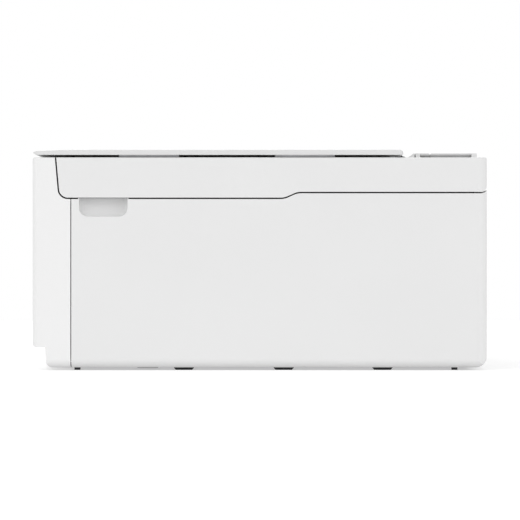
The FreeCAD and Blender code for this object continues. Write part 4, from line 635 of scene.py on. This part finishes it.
RAIL = "chassis_frame"
SOFTENED = ("side_cover_right", "side_cover_left", "rear_cover", "front_bezel", "control_panel",
            "scanner_top_case", "document_cover", "rear_tray_cover", "feed_slot_cover",
            "rear_access_cover", "output_cover", "output_tray", "output_shelf", "cassette_tray")


class SoftenCovers(bpy.types.Operator):
    """Breaks the sharp edges of the outer covers, as a mould does"""

    bl_idname = "printer.soften_covers"
    bl_label = "Soften the covers"

    FLAT = 0.4  # faces within this angle are one, in degrees
    SMOOTH = 28.0  # an edge shades smooth up to this angle
    BROKEN = 50.0  # an edge past this angle is rounded
    MERGED = 1e-6  # corners nearer than this are one

    def execute(self, context):
        for node in SOFTENED:
            mesh = self.cleaned(frame["nodes"][node].data.copy(), node)
            cover = settle(node + "_moulding", mesh, node, SLOT_OF[node])
            edge = cover.modifiers.new("broken edges", "BEVEL")
            edge.width = context.scene.printer_sizes.edge
            edge.segments = 2
            edge.limit_method = "ANGLE"
            edge.angle_limit = radians(self.BROKEN)
            edge.harden_normals = True
            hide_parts(node)
        return {"FINISHED"}

    def cleaned(self, mesh, node):
        """Merges the triangles of a CAD mesh into whole faces."""
        mesh.name = node + "_moulding"
        mesh.materials.clear()
        shape = bmesh.new()
        shape.from_mesh(mesh)
        bmesh.ops.remove_doubles(shape, verts=shape.verts, dist=self.MERGED)
        bmesh.ops.dissolve_limit(shape, verts=shape.verts, edges=shape.edges,
                                 angle_limit=radians(self.FLAT))
        shape.to_mesh(mesh)
        shape.free()
        if mesh.attributes.get("custom_normal"):
            mesh.attributes.remove(mesh.attributes["custom_normal"])
        mesh.shade_smooth()
        mesh.set_sharp_from_angle(angle=radians(self.SMOOTH))
        return mesh


class LineRecesses(bpy.types.Operator):
    """Makes the smooth dish of each finger recess, closed up to the seam"""

    bl_idname = "printer.line_recesses"
    bl_label = "Finger recesses"

    START = 32.2 * MM    # from the printer's front
    LENGTH = 33.6 * MM
    HEIGHT = 13.2 * MM
    CORNER = 6.0 * MM
    DEPTH = 6.5 * MM
    ROUND = 3.6 * MM
    SKIN = 0.6 * MM
    LIP = 0.4 * MM       # from the cover's face in to the dish's rim
    CLEAR = 0.04 * MM

    def execute(self, context):
        for side, face in (("right", CAD_BOX[1].x), ("left", CAD_BOX[0].x)):
            piece("recess_dish_" + side, lambda shape: self.dish(shape, face),
                  "side_cover_" + side, "white_shell", angle=45.0)
        return {"FINISHED"}

    def dish(self, shape, face):
        """Rings down the hollow and back round the hidden side; all are open at the top."""
        depths = [(self.LIP, self.CLEAR)]
        depths += [(self.DEPTH - self.ROUND * (1 - sin(bend)),
                    self.CLEAR + self.ROUND * (1 - cos(bend))) for bend in QUARTER]
        depths += [(self.DEPTH + self.SKIN, -self.SKIN), (self.LIP, -self.SKIN)]
        inward = -1 if face > 0 else 1
        loops = [[shape.verts.new((face + inward * depth, y, z)) for y, z in self.path(inset)]
                 for depth, inset in depths]
        for first, second in zip(loops, loops[1:] + loops[:1]):
            if first is not loops[-3]:
                bridge(shape, first, second, closed=False)
        shape.faces.new(loops[-3])
        shape.faces.new(loops[-2])
        shape.faces.new([loop[0] for loop in loops] + [loop[-1] for loop in reversed(loops)])

    def path(self, inset):
        """Down one side, along the bottom and up the other, in Y and Z."""
        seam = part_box("scanner_top_case")[0].z
        front, low = CAD_BOX[0].y + self.START, seam - self.HEIGHT
        back, top = front + self.LENGTH, seam - 0.25 * MM
        radius = max(self.CORNER - inset, 0.3 * MM)
        level = low + inset + radius
        return ([(front + inset, top)]
                + arc_points(front + inset + radius, level, radius, 180, 270, 8)
                + arc_points(back - inset - radius, level, radius, 270, 360, 8)
                + [(back - inset, top)])


class BuildPad(bpy.types.Operator):
    """Makes the laminated foam pad under the document cover"""

    bl_idname = "printer.build_pad"
    bl_label = "Document pad"

    CORNER = 5.0 * MM
    TOP_EDGE = 0.3 * MM
    WAIST = 0.25 * MM
    CROWN = 0.25 * MM
    # The crowned face: how far in from the edge, and what is left of the crown there
    SWELL = ((6.0 * MM, 0.6), (18.0 * MM, 0.25), (40.0 * MM, 0.06), (75.0 * MM, 0.0))

    def execute(self, context):
        low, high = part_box("document_pad")
        soft = context.scene.printer_sizes.pad_edge
        pad = piece("document_pad_foam", lambda shape: self.slab(shape, low, high, soft),
                    "document_pad", "pad_foam", angle=60.0)
        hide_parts("document_pad")
        return {"FINISHED"}

    def slab(self, shape, low, high, soft):
        """Rings from the glued top, down the sides and in under the crowned face."""
        x, y, _ = (low + high) / 2
        half_w, half_h, _ = (high - low) / 2
        foot = low.z + self.CROWN
        rings = [(self.TOP_EDGE, high.z), (0.0, high.z - self.TOP_EDGE),
                 (self.WAIST, (foot + soft + high.z) / 2)]
        rings += [(soft * (1 - cos(bend)), foot + soft * (1 - sin(bend))) for bend in QUARTER]
        rings += [(inset, low.z + self.CROWN * share) for inset, share in self.SWELL]
        loops = []
        for inset, z in rings:
            corner = max(self.CORNER - inset, 0.5 * MM)
            outline = round_rect(x, y, half_w - inset, half_h - inset, corner)
            loops.append([shape.verts.new((u, v, z)) for u, v in outline])
        for first, second in zip(loops, loops[1:]):
            bridge(shape, first, second)
        shape.faces.new(loops[0])
        shape.faces.new(list(reversed(loops[-1])))


class BuildDisplay(bpy.types.Operator):
    """Makes the lit display behind its window, and the lamps of the panel"""

    bl_idname = "printer.build_display"
    bl_label = "Display and lamps"

    BEZEL = 2 * MM  # the window's hidden edge
    BEHIND = 0.2 * MM  # from window to lit face
    TILE = 8.0 * MM  # half the side of a tile
    TILE_STEP = 20.0 * MM
    TILE_DROP = 1.5 * MM

    def execute(self, context):
        low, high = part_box("display_window")
        self.face = high.y + self.BEHIND
        self.x, _, self.z = (low + high) / 2
        self.half_w = (high.x - low.x) / 2 - self.BEZEL
        self.half_h = (high.z - low.z) / 2 - self.BEZEL
        for name, build, material in (
                ("display_panel", self.panel, "screen_blue"),
                ("display_tiles", self.tiles, "screen_tile"),
                ("display_marks", self.marks, "screen_light"),
                ("panel_lamps", self.lamps, "lamp_green")):
            piece(name, build, "display_window", material)
        return {"FINISHED"}

    def panel(self, shape):
        block(shape, (self.x - self.half_w, self.face, self.z - self.half_h),
              (self.x + self.half_w, self.face + 1.6 * MM, self.z + self.half_h), 0.15 * MM)

    def tiles(self, shape):
        for k in (-1, 0, 1):
            outline = round_rect(self.x + k * self.TILE_STEP, self.z - self.TILE_DROP,
                                 self.TILE, self.TILE, 1.6 * MM)
            plate(shape, outline, self.face - 0.05 * MM, self.face + 0.1 * MM)

    def marks(self, shape):
        """Signs on the tiles (sheets, lines and a drop), and dots above them."""
        near, far = self.face - 0.1 * MM, self.face
        left, right = self.x - self.TILE_STEP, self.x + self.TILE_STEP
        z = self.z - self.TILE_DROP
        outlines = [round_rect(left - 1.3 * MM, z + 1.0 * MM, 2.6 * MM, 3.6 * MM, 0.5 * MM),
                    round_rect(left + 2.6 * MM, z - 1.6 * MM, 0.5 * MM, 3.4 * MM, 0.2 * MM),
                    round_rect(left + 0.6 * MM, z - 4.6 * MM, 2.5 * MM, 0.5 * MM, 0.2 * MM)]
        outlines += [round_rect(self.x, z + k * 2.0 * MM, 4.4 * MM, 0.4 * MM, 0.3 * MM)
                     for k in (-2, -1, 0, 1, 2)]
        drop = arc_points(right, z - 1.2 * MM, 3.0 * MM, 150, 390, 16)
        outlines.append(drop + [(right, z + 4.8 * MM)])
        outlines += [round_rect(self.x + k * 3.2 * MM, self.z + self.half_h - 2.2 * MM, 0.6 * MM,
                                0.6 * MM, 0.55 * MM) for k in (-9, -8, 8, 9)]
        for outline in outlines:
            plate(shape, outline, near, far)

    def lamps(self, shape):
        panel_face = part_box("control_panel")[0].y
        for button in ("power_button", "home_button"):
            x, _, z = middle(button)
            block(shape, (x - 2.2 * MM, panel_face - 0.2 * MM, z - 13.0 * MM),
                  (x + 2.2 * MM, panel_face + 0.6 * MM, z - 11.8 * MM))


class MarkButtons(bpy.types.Operator):
    """Prints the plain signs on the buttons: start, stop, tick, home and power"""

    bl_idname = "printer.mark_buttons"
    bl_label = "Button signs"

    PRINT = 0.1 * MM
    SHARE = 0.55     # of the sign in its button
    # Outlines of each sign, in a square from -1 to 1
    SIGNS = {
        "power_button": [round_rect(0, 0.6, 0.12, 0.45, 0.1), arc_points(0, 0, 0.95, 125, 415, 24)
                         + arc_points(0, 0, 0.72, 415, 125, 24)],
        "home_button": [[(-1, 0), (-0.7, 0), (-0.7, -0.85), (-0.22, -0.85), (-0.22, -0.25),
                         (0.22, -0.25), (0.22, -0.85), (0.7, -0.85), (0.7, 0), (1, 0), (0, 0.95)]],
        "ok_button": [[(-0.95, 0.05), (-0.3, -0.75), (0.95, 0.65), (0.7, 0.9), (-0.3, -0.3),
                       (-0.7, 0.3)]],
        "stop_button": [round_rect(0, 0, 0.7, 0.7, 0.12)],
        "start_button": [[(-0.6, 0.85), (-0.6, -0.85), (0.95, 0)]],
    }

    def execute(self, context):
        for button, sign in self.SIGNS.items():
            low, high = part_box(button)
            x, _, z = (low + high) / 2
            size = self.SHARE * min(high.x - x, high.z - z)
            near, far = low.y - self.PRINT, low.y + self.PRINT
            outlines = [[(x + size * u, z + size * v) for u, v in outline] for outline in sign]

            def print_sign(shape):
                for outline in outlines:
                    plate(shape, outline, near, far)

            piece(button + "_sign", print_sign, button, "icon_white")
        return {"FINISHED"}


class BuildPaperPath(bpy.types.Operator):
    """Makes the star wheels, the pinch rollers and their holders, and the tray's ribs"""

    bl_idname = "printer.build_paper_path"
    bl_label = "Star wheels and pinch rollers"

    ROLLERS = 4
    ROLLER_LENGTH = 38.0 * MM
    FIRST_X = -122.0 * MM  # where the first of them starts
    END_GAP = 6.0 * MM
    TYRE_R = 6.0 * MM
    NIP = 0.05 * MM  # between a driven roller and what rests on it
    CHEEKS = (-182.0 * MM, 113.2 * MM)  # of the metal frame
    SHEET = 1.2 * MM
    BAR_Z = 73.8 * MM
    BAR_T = 1.3 * MM
    BAR_HALF = 3.2 * MM
    LEG_FOOT = 64.0 * MM
    REAR_BAR = (-124.0 * MM, 108.0 * MM)
    STAR_POINTS = 14
    STAR_X = 1.8 * MM
    NOTCH = 0.76  # a star wheel's inner radius, to its outer
    RIB_LENGTH = 68.0 * MM
    RIB_STEP = 18 * MM
    RIB_GROUPS = 152 * MM  # from one group of ribs to the next

    def execute(self, context):
        sizes = context.scene.printer_sizes
        self.radius = sizes.pinch
        axle_z = middle("feed_roller").z + self.TYRE_R + self.radius + self.NIP
        last = self.CHEEKS[1] - self.SHEET - self.END_GAP
        pitch = (last - self.FIRST_X - self.ROLLER_LENGTH) / (self.ROLLERS - 1)
        centre = self.FIRST_X + self.ROLLER_LENGTH / 2
        gap = self.ROLLER_LENGTH / (sizes.star_pairs + 0.5)
        start = (centre - gap * (sizes.star_pairs - 1) / 2, middle("eject_roller").y, axle_z)
        over = dict(count=sizes.star_pairs, start=start, step=(gap, 0, 0), lines=self.ROLLERS,
                    line_step=(pitch, 0, 0))
        rows("star_wheels", self.stars, RAIL, "bright_steel", spin=pi, seed=4, **over)
        rows("star_wheel_arms", self.star_arm, RAIL, "inner_dark", **over)
        feed_y = middle("feed_roller").y - 1.0 * MM
        under = dict(count=self.ROLLERS, start=(centre, feed_y, axle_z), step=(pitch, 0, 0))
        rows("pinch_rollers", self.pinch_roller, RAIL, "gear_nylon", **under)
        rows("pinch_roller_arms", self.pinch_arms, RAIL, "inner_dark", **under)
        piece("roller_holders", self.holders, RAIL, "inner_dark")
        low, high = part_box("output_tray")
        rows("tray_ribs", self.rib, "output_tray", "white_front", count=5,
             start=(-112 * MM, low.y + 22 * MM, high.z - 1.0 * MM), step=(self.RIB_STEP, 0, 0),
             lines=2, line_step=(self.RIB_GROUPS, 0, 0))
        return {"FINISHED"}

    def stars(self, shape):
        """Two thin toothed discs on one hub."""
        for x in (-self.STAR_X, self.STAR_X):
            points = []
            for k in range(2 * self.STAR_POINTS):
                reach = self.radius * (self.NOTCH if k % 2 else 1.0)
                turn = pi * k / self.STAR_POINTS
                points.append((reach * cos(turn), reach * sin(turn)))
            plate(shape, points, x - 0.15 * MM, x + 0.15 * MM, "X")
        wheel(shape, 0.9 * MM, 4.4 * MM, 0.15 * MM, 12)

    def star_arm(self, shape):
        for x in (-3.2 * MM, 3.2 * MM):
            block(shape, (x - 0.7 * MM, -1.3 * MM, -1.3 * MM), (x + 0.7 * MM, 1.3 * MM, 3.6 * MM),
                  0.2 * MM, 1)

    def pinch_roller(self, shape):
        wheel(shape, self.radius, 30.0 * MM, 0.4 * MM, 28)

    def pinch_arms(self, shape):
        for x in (-16.4 * MM, 16.4 * MM):
            block(shape, (x - 1.0 * MM, -1.5 * MM, -1.5 * MM), (x + 1.0 * MM, 5.0 * MM, 3.6 * MM),
                  steps=1)
        wheel(shape, 0.8 * MM, 34.0 * MM, 0.1 * MM, 10)

    def holders(self, shape):
        """A bar over each driven shaft, and two legs under the front one."""
        left, right = self.CHEEKS
        top = self.BAR_Z + self.BAR_T
        eject_y = middle("eject_roller").y
        front, back = eject_y - self.BAR_HALF, eject_y + self.BAR_HALF
        block(shape, (left, front, self.BAR_Z), (right, back, top))
        rail_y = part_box("chassis_frame")[1].y - self.SHEET
        block(shape, (self.REAR_BAR[0], rail_y - 5.0 * MM, self.BAR_Z),
              (self.REAR_BAR[1], rail_y, top))
        for x in (left, right - self.SHEET):
            block(shape, (x - 0.8 * MM, front, self.LEG_FOOT), (x + 2.0 * MM, back, top))

    def rib(self, shape):
        block(shape, (-0.6 * MM, 0, -0.2 * MM), (0.6 * MM, self.RIB_LENGTH, 0.25 * MM), 0.2 * MM)


class BuildCarriageDrive(bpy.types.Operator):
    """Makes the belt's teeth, the encoder tape with its springs, and the tanks' labels"""

    bl_idname = "printer.build_carriage_drive"
    bl_label = "Belt teeth, encoder tape and tank labels"

    BELT_T = 1.2 * MM
    TOOTH_ROWS_HALF = 170.0 * MM
    TOOTH = ((-0.55 * MM, 0.05 * MM), (-0.3 * MM, -0.25 * MM), (0.3 * MM, -0.25 * MM),
             (0.55 * MM, 0.05 * MM))
    TAPE_HALF = 182.0 * MM
    TAPE_FOOT, TAPE_TOP = 6.7 * MM, 1.8 * MM  # below the top of the rail
    TAPE_AHEAD = 6.2 * MM  # in front of its back
    TAPE_T = 0.2 * MM
    HOOK_X = 188.5 * MM
    # Width of each tank in millimetres, and its label's colour
    TANKS = ((24, "icon_dark"), (16, "tab_grey"), (16, "tab_cyan"), (16, "tab_magenta"),
             (16, "tab_yellow"))
    TANK_GAP = 1
    LABEL_EDGE = 2.5

    def execute(self, context):
        sizes = context.scene.printer_sizes
        self.belt_teeth(sizes.tooth)
        self.encoder(sizes.wire)
        self.tank_labels()
        return {"FINISHED"}

    def belt_teeth(self, pitch):
        low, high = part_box("carriage_belt")
        inner = (high.z - low.z) / 2 - self.BELT_T
        reach = self.TOOTH_ROWS_HALF
        near, far = low.y + 0.05 * MM, high.y - 0.05 * MM

        def teeth(shape):
            plate(shape, self.TOOTH, near, far)
            plate(shape, [(x, -2 * inner - z) for x, z in self.TOOTH], near, far)

        rows("belt_teeth", teeth, "carriage_belt", "rubber_dark",
             count=int(2 * reach / pitch), start=(-reach, 0, (low.z + high.z) / 2 + inner),
             step=(pitch, 0, 0))

    def encoder(self, wire):
        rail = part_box("chassis_frame")[1]
        y = rail.y - self.TAPE_AHEAD
        low_z, high_z = rail.z - self.TAPE_FOOT, rail.z - self.TAPE_TOP
        mid_z = (low_z + high_z) / 2

        def tape(shape):
            block(shape, (-self.TAPE_HALF, y, low_z),
                  (self.TAPE_HALF, y + self.TAPE_T, high_z), 0)

        piece("encoder_tape", tape, RAIL, "tape", "window_clear")

        def hooks(shape):
            for x in (-self.HOOK_X, self.HOOK_X):
                block(shape, (x - 0.8 * MM, y - 1.2 * MM, mid_z - 1.5 * MM),
                      (x + 0.8 * MM, rail.y - 0.6 * MM, mid_z + 1.5 * MM), 0.2 * MM)
            for x in (-self.TAPE_HALF, self.TAPE_HALF):
                block(shape, (x - 1.5 * MM, y - 0.4 * MM, mid_z - 1.8 * MM),
                      (x + 1.5 * MM, y + 0.6 * MM, mid_z + 1.8 * MM), 0.2 * MM)

        piece("encoder_hooks", hooks, RAIL, "sheet_steel")
        for side, x in (("left", -self.HOOK_X), ("right", self.TAPE_HALF)):
            grown("encoder_spring_" + side, "coil_spring", RAIL, "bright_steel",
                  Turns=7.0, Radius=1.3 * MM, Length=self.HOOK_X - self.TAPE_HALF,
                  Wire_Radius=wire / 2, Start=(x, y + 0.1 * MM, mid_z))

    def tank_labels(self):
        """A coloured label on the top and a finger tab at the front of each tank."""
        low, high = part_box("ink_tanks")
        x = low.x
        for number, (width, colour) in enumerate(self.TANKS, 1):
            middle_x, half = x + width * MM / 2, (width / 2 - self.LABEL_EDGE) * MM
            top = round_rect(middle_x, high.y - 20 * MM, half, 10 * MM, 1.5 * MM)
            tab = round_rect(middle_x, low.y + 3.6 * MM, half, 2.2 * MM, 1.0 * MM)

            def label(shape):
                plate(shape, top, high.z - 0.1 * MM, high.z + 0.2 * MM, "Z")
                plate(shape, tab, high.z - 5.1 * MM, high.z - 4.4 * MM, "Z")

            piece(f"tank_label_{number}", label, "ink_tanks", colour)
            x += (width + self.TANK_GAP) * MM


class BuildScanBar(bpy.types.Operator):
    """Makes the lens strip and light guide of the scanning bar, and the rack that it runs along"""

    bl_idname = "printer.build_scan_bar"
    bl_label = "Scanning bar and rack"

    END_GAP = 4 * MM  # from the bar's ends to the strips'
    RACK_HALF = 150 * MM
    RACK_WIDTH = 3 * MM
    PITCH = 1.5 * MM
    TOOTH = ((-0.45 * MM, 0.5 * MM), (-0.2 * MM, 1.2 * MM), (0.2 * MM, 1.2 * MM),
             (0.45 * MM, 0.5 * MM))

    def execute(self, context):
        low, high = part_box("scan_sensor_bar")
        near, far = low.y + self.END_GAP, high.y - self.END_GAP

        def lens(shape):
            block(shape, (low.x + 6.3 * MM, near, high.z - 0.8 * MM),
                  (low.x + 9.7 * MM, far, high.z - 0.15 * MM), 0.1 * MM)

        def light(shape):
            block(shape, (low.x + 2.6 * MM, near, high.z - 0.3 * MM),
                  (low.x + 4.4 * MM, far, high.z + 0.15 * MM), 0.15 * MM)

        piece("scan_lens", lens, "scan_sensor_bar", "tank_black")
        piece("scan_light_guide", light, "scan_sensor_bar", "icon_white")
        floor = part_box("scanner_base")[0].z + 2.0 * MM
        y = middle("scan_guide_rod").y - 10 * MM
        reach = self.RACK_HALF

        def rack(shape):
            block(shape, (-reach, y, floor - 0.3 * MM),
                  (reach, y + self.RACK_WIDTH, floor + 0.6 * MM), 0.15 * MM)

        piece("scan_rack", rack, "scanner_base", "gear_nylon")
        rows("scan_rack_teeth", lambda shape: plate(shape, self.TOOTH, 0.1 * MM, 2.9 * MM),
             "scanner_base", "gear_nylon", count=int(2 * reach / self.PITCH) - 1,
             start=(-reach + self.PITCH, y, floor), step=(self.PITCH, 0, 0))
        return {"FINISHED"}


class FillBoard(bpy.types.Operator):
    """Puts capacitors and headers on the main board, and size ticks in the cassette"""

    bl_idname = "printer.fill_board"
    bl_label = "Board parts and size ticks"

    BOARD_T = 1.6 * MM
    CAPACITOR = ((-0.3 * MM, 2.4 * MM), (0, 2.5 * MM), (5.2 * MM, 2.5 * MM), (5.6 * MM, 2.2 * MM),
                 (5.6 * MM, 1.8 * MM), (5.4 * MM, 1.7 * MM))
    CASSETTE_FLOOR = 4.7 * MM
    TICK_STEP = 5 * MM
    TICK_GROUPS = 196 * MM  # from one group of ticks to the next

    def execute(self, context):
        low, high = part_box("main_board")
        face = high.x - self.BOARD_T

        def header(shape):
            block(shape, (-0.3 * MM, -4.5 * MM, -1.6 * MM), (3.4 * MM, 4.5 * MM, 1.6 * MM),
                  0.2 * MM)
            block(shape, (3.0 * MM, -3.9 * MM, -0.7 * MM), (3.6 * MM, 3.9 * MM, 0.7 * MM), 0)

        rows("board_capacitors", lambda shape: turned(shape, self.CAPACITOR, 18), "main_board",
             "motor_zinc", count=3, start=(face, low.y + 59 * MM, low.z + 5 * MM),
             step=(0, 0, 6.6 * MM))
        rows("board_headers", header, "main_board", "gear_nylon", count=3,
             start=(face, low.y + 14 * MM, high.z - 2.4 * MM), step=(0, 12 * MM, 0))
        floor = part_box("cassette_tray")[0].z + self.CASSETTE_FLOOR

        def tick(shape):
            block(shape, (-0.25 * MM, -3.5 * MM, -0.1 * MM), (0.25 * MM, 3.5 * MM, 0.15 * MM),
                  0.05 * MM, 1)

        rows("cassette_ticks", tick, "cassette_tray", "icon_white", count=5,
             start=(-108 * MM, -54 * MM, floor), step=(self.TICK_STEP, 0, 0), lines=2,
             line_step=(self.TICK_GROUPS, 0, 0))
        return {"FINISHED"}


class BuildStage(bpy.types.Operator):
    """Sets the pale floor, the soft light and the camera"""

    bl_idname = "printer.build_stage"
    bl_label = "Build the stage"

    # Name, place, size, and the setting that holds its power
    LIGHTS = (("key_light", (2.6, -1.6, 2.8), 2.2, "key"),
              ("top_light", (-0.4, 0.3, 3.4), 2.6, "top"),
              ("rear_light", (1.6, 2.9, 1.6), 2.0, "fill"),
              ("left_light", (-2.8, -0.4, 1.8), 2.0, "fill"))
    AIM = (0, 0, 0.07)

    def execute(self, context):
        stage = context.scene.printer_stage
        self.floor(stage.floor)
        self.surround(context.scene, stage.sky)
        for name, place, size, setting in self.LIGHTS:
            self.soft_light(name, place, size, getattr(stage, setting))
        self.camera(context.scene, stage)
        return {"FINISHED"}

    def floor(self, radius):
        mesh = bpy.data.meshes.new("floor")
        shape = bmesh.new()
        bmesh.ops.create_circle(shape, cap_ends=True, segments=96, radius=radius)
        shape.to_mesh(mesh)
        shape.free()
        mesh.materials.append(finish("floor"))
        thing = placed("floor", mesh)

    def surround(self, scene, brightness):
        """A white surround that shows as plain white and gives off a little less light."""
        scene.world = bpy.data.worlds.new("surround")
        scene.world.use_nodes = True
        tree = scene.world.node_tree
        given = tree.nodes["Background"]
        shown = tree.nodes.new("ShaderNodeBackground")
        for background, strength in ((given, brightness), (shown, 1.0)):
            background.inputs["Color"].default_value = (1.0, 1.0, 1.0, 1.0)
            background.inputs["Strength"].default_value = strength
        path = Socket(tree, tree.nodes.new("ShaderNodeLightPath").outputs["Is Camera Ray"])
        mixed = path.add("ShaderNodeMixShader", {}, {0: path, 1: Socket(tree, given.outputs[0]),
                                                    2: Socket(tree, shown.outputs[0])})
        tree.links.new(mixed.plug, tree.nodes["World Output"].inputs["Surface"])

    def soft_light(self, name, place, size, power):
        lamp = bpy.data.lights.new(name, "AREA")
        lamp.shape = "SQUARE"
        lamp.size = size
        lamp.energy = power
        thing = placed(name, lamp)
        thing.location = place
        away = Vector(self.AIM) - Vector(place)
        thing.rotation_euler = away.to_track_quat("-Z", "Y").to_euler()

    def camera(self, scene, stage):
        lens = bpy.data.cameras.new("camera")
        lens.sensor_width = 36.0
        lens.lens = lens.sensor_width / 2 * stage.distance / stage.half_width
        lens.clip_end = 100.0
        thing = placed("camera", lens)
        thing.location = (CAD_BOX[1].x + stage.distance, 0.0, stage.height)
        thing.rotation_euler = Vector((-1, 0, 0)).to_track_quat("-Z", "Y").to_euler()
        scene.camera = thing
        scene.view_settings.view_transform = "Standard"


class PrinterPanel(bpy.types.Panel):
    """Sidebar panel with the settings and the steps"""

    bl_idname = "VIEW3D_PT_printer"
    bl_label = "Printer"
    bl_space_type = "VIEW_3D"
    bl_region_type = "UI"
    bl_category = "Printer"

    def draw(self, context):
        for group in (getattr(context.scene, name) for name in SETTINGS):
            column = self.layout.column(align=True)
            for name in group.__annotations__:
                column.prop(group, name)
        for step in STEPS:
            self.layout.operator(step.bl_idname)


SETTINGS = {"printer_colours": PrinterColours, "printer_sizes": PrinterSizes,
            "printer_stage": PrinterStage}
STEPS = (FinishFrame, SoftenCovers, LineRecesses, BuildPad, BuildDisplay, MarkButtons,
         BuildPaperPath, BuildCarriageDrive, BuildScanBar, FillBoard, BuildStage)
CLASSES = (*SETTINGS.values(), *STEPS, PrinterPanel)


def register():
    for item in CLASSES:
        bpy.utils.register_class(item)
    for name, group in SETTINGS.items():
        setattr(bpy.types.Scene, name, PointerProperty(type=group))


def unregister():
    for name in SETTINGS:
        delattr(bpy.types.Scene, name)
    for item in reversed(CLASSES):
        bpy.utils.unregister_class(item)


def main():
    register()
    for step in STEPS:
        family, action = step.bl_idname.split(".")
        getattr(getattr(bpy.ops, family), action)()


if __name__ == "__main__":
    main()
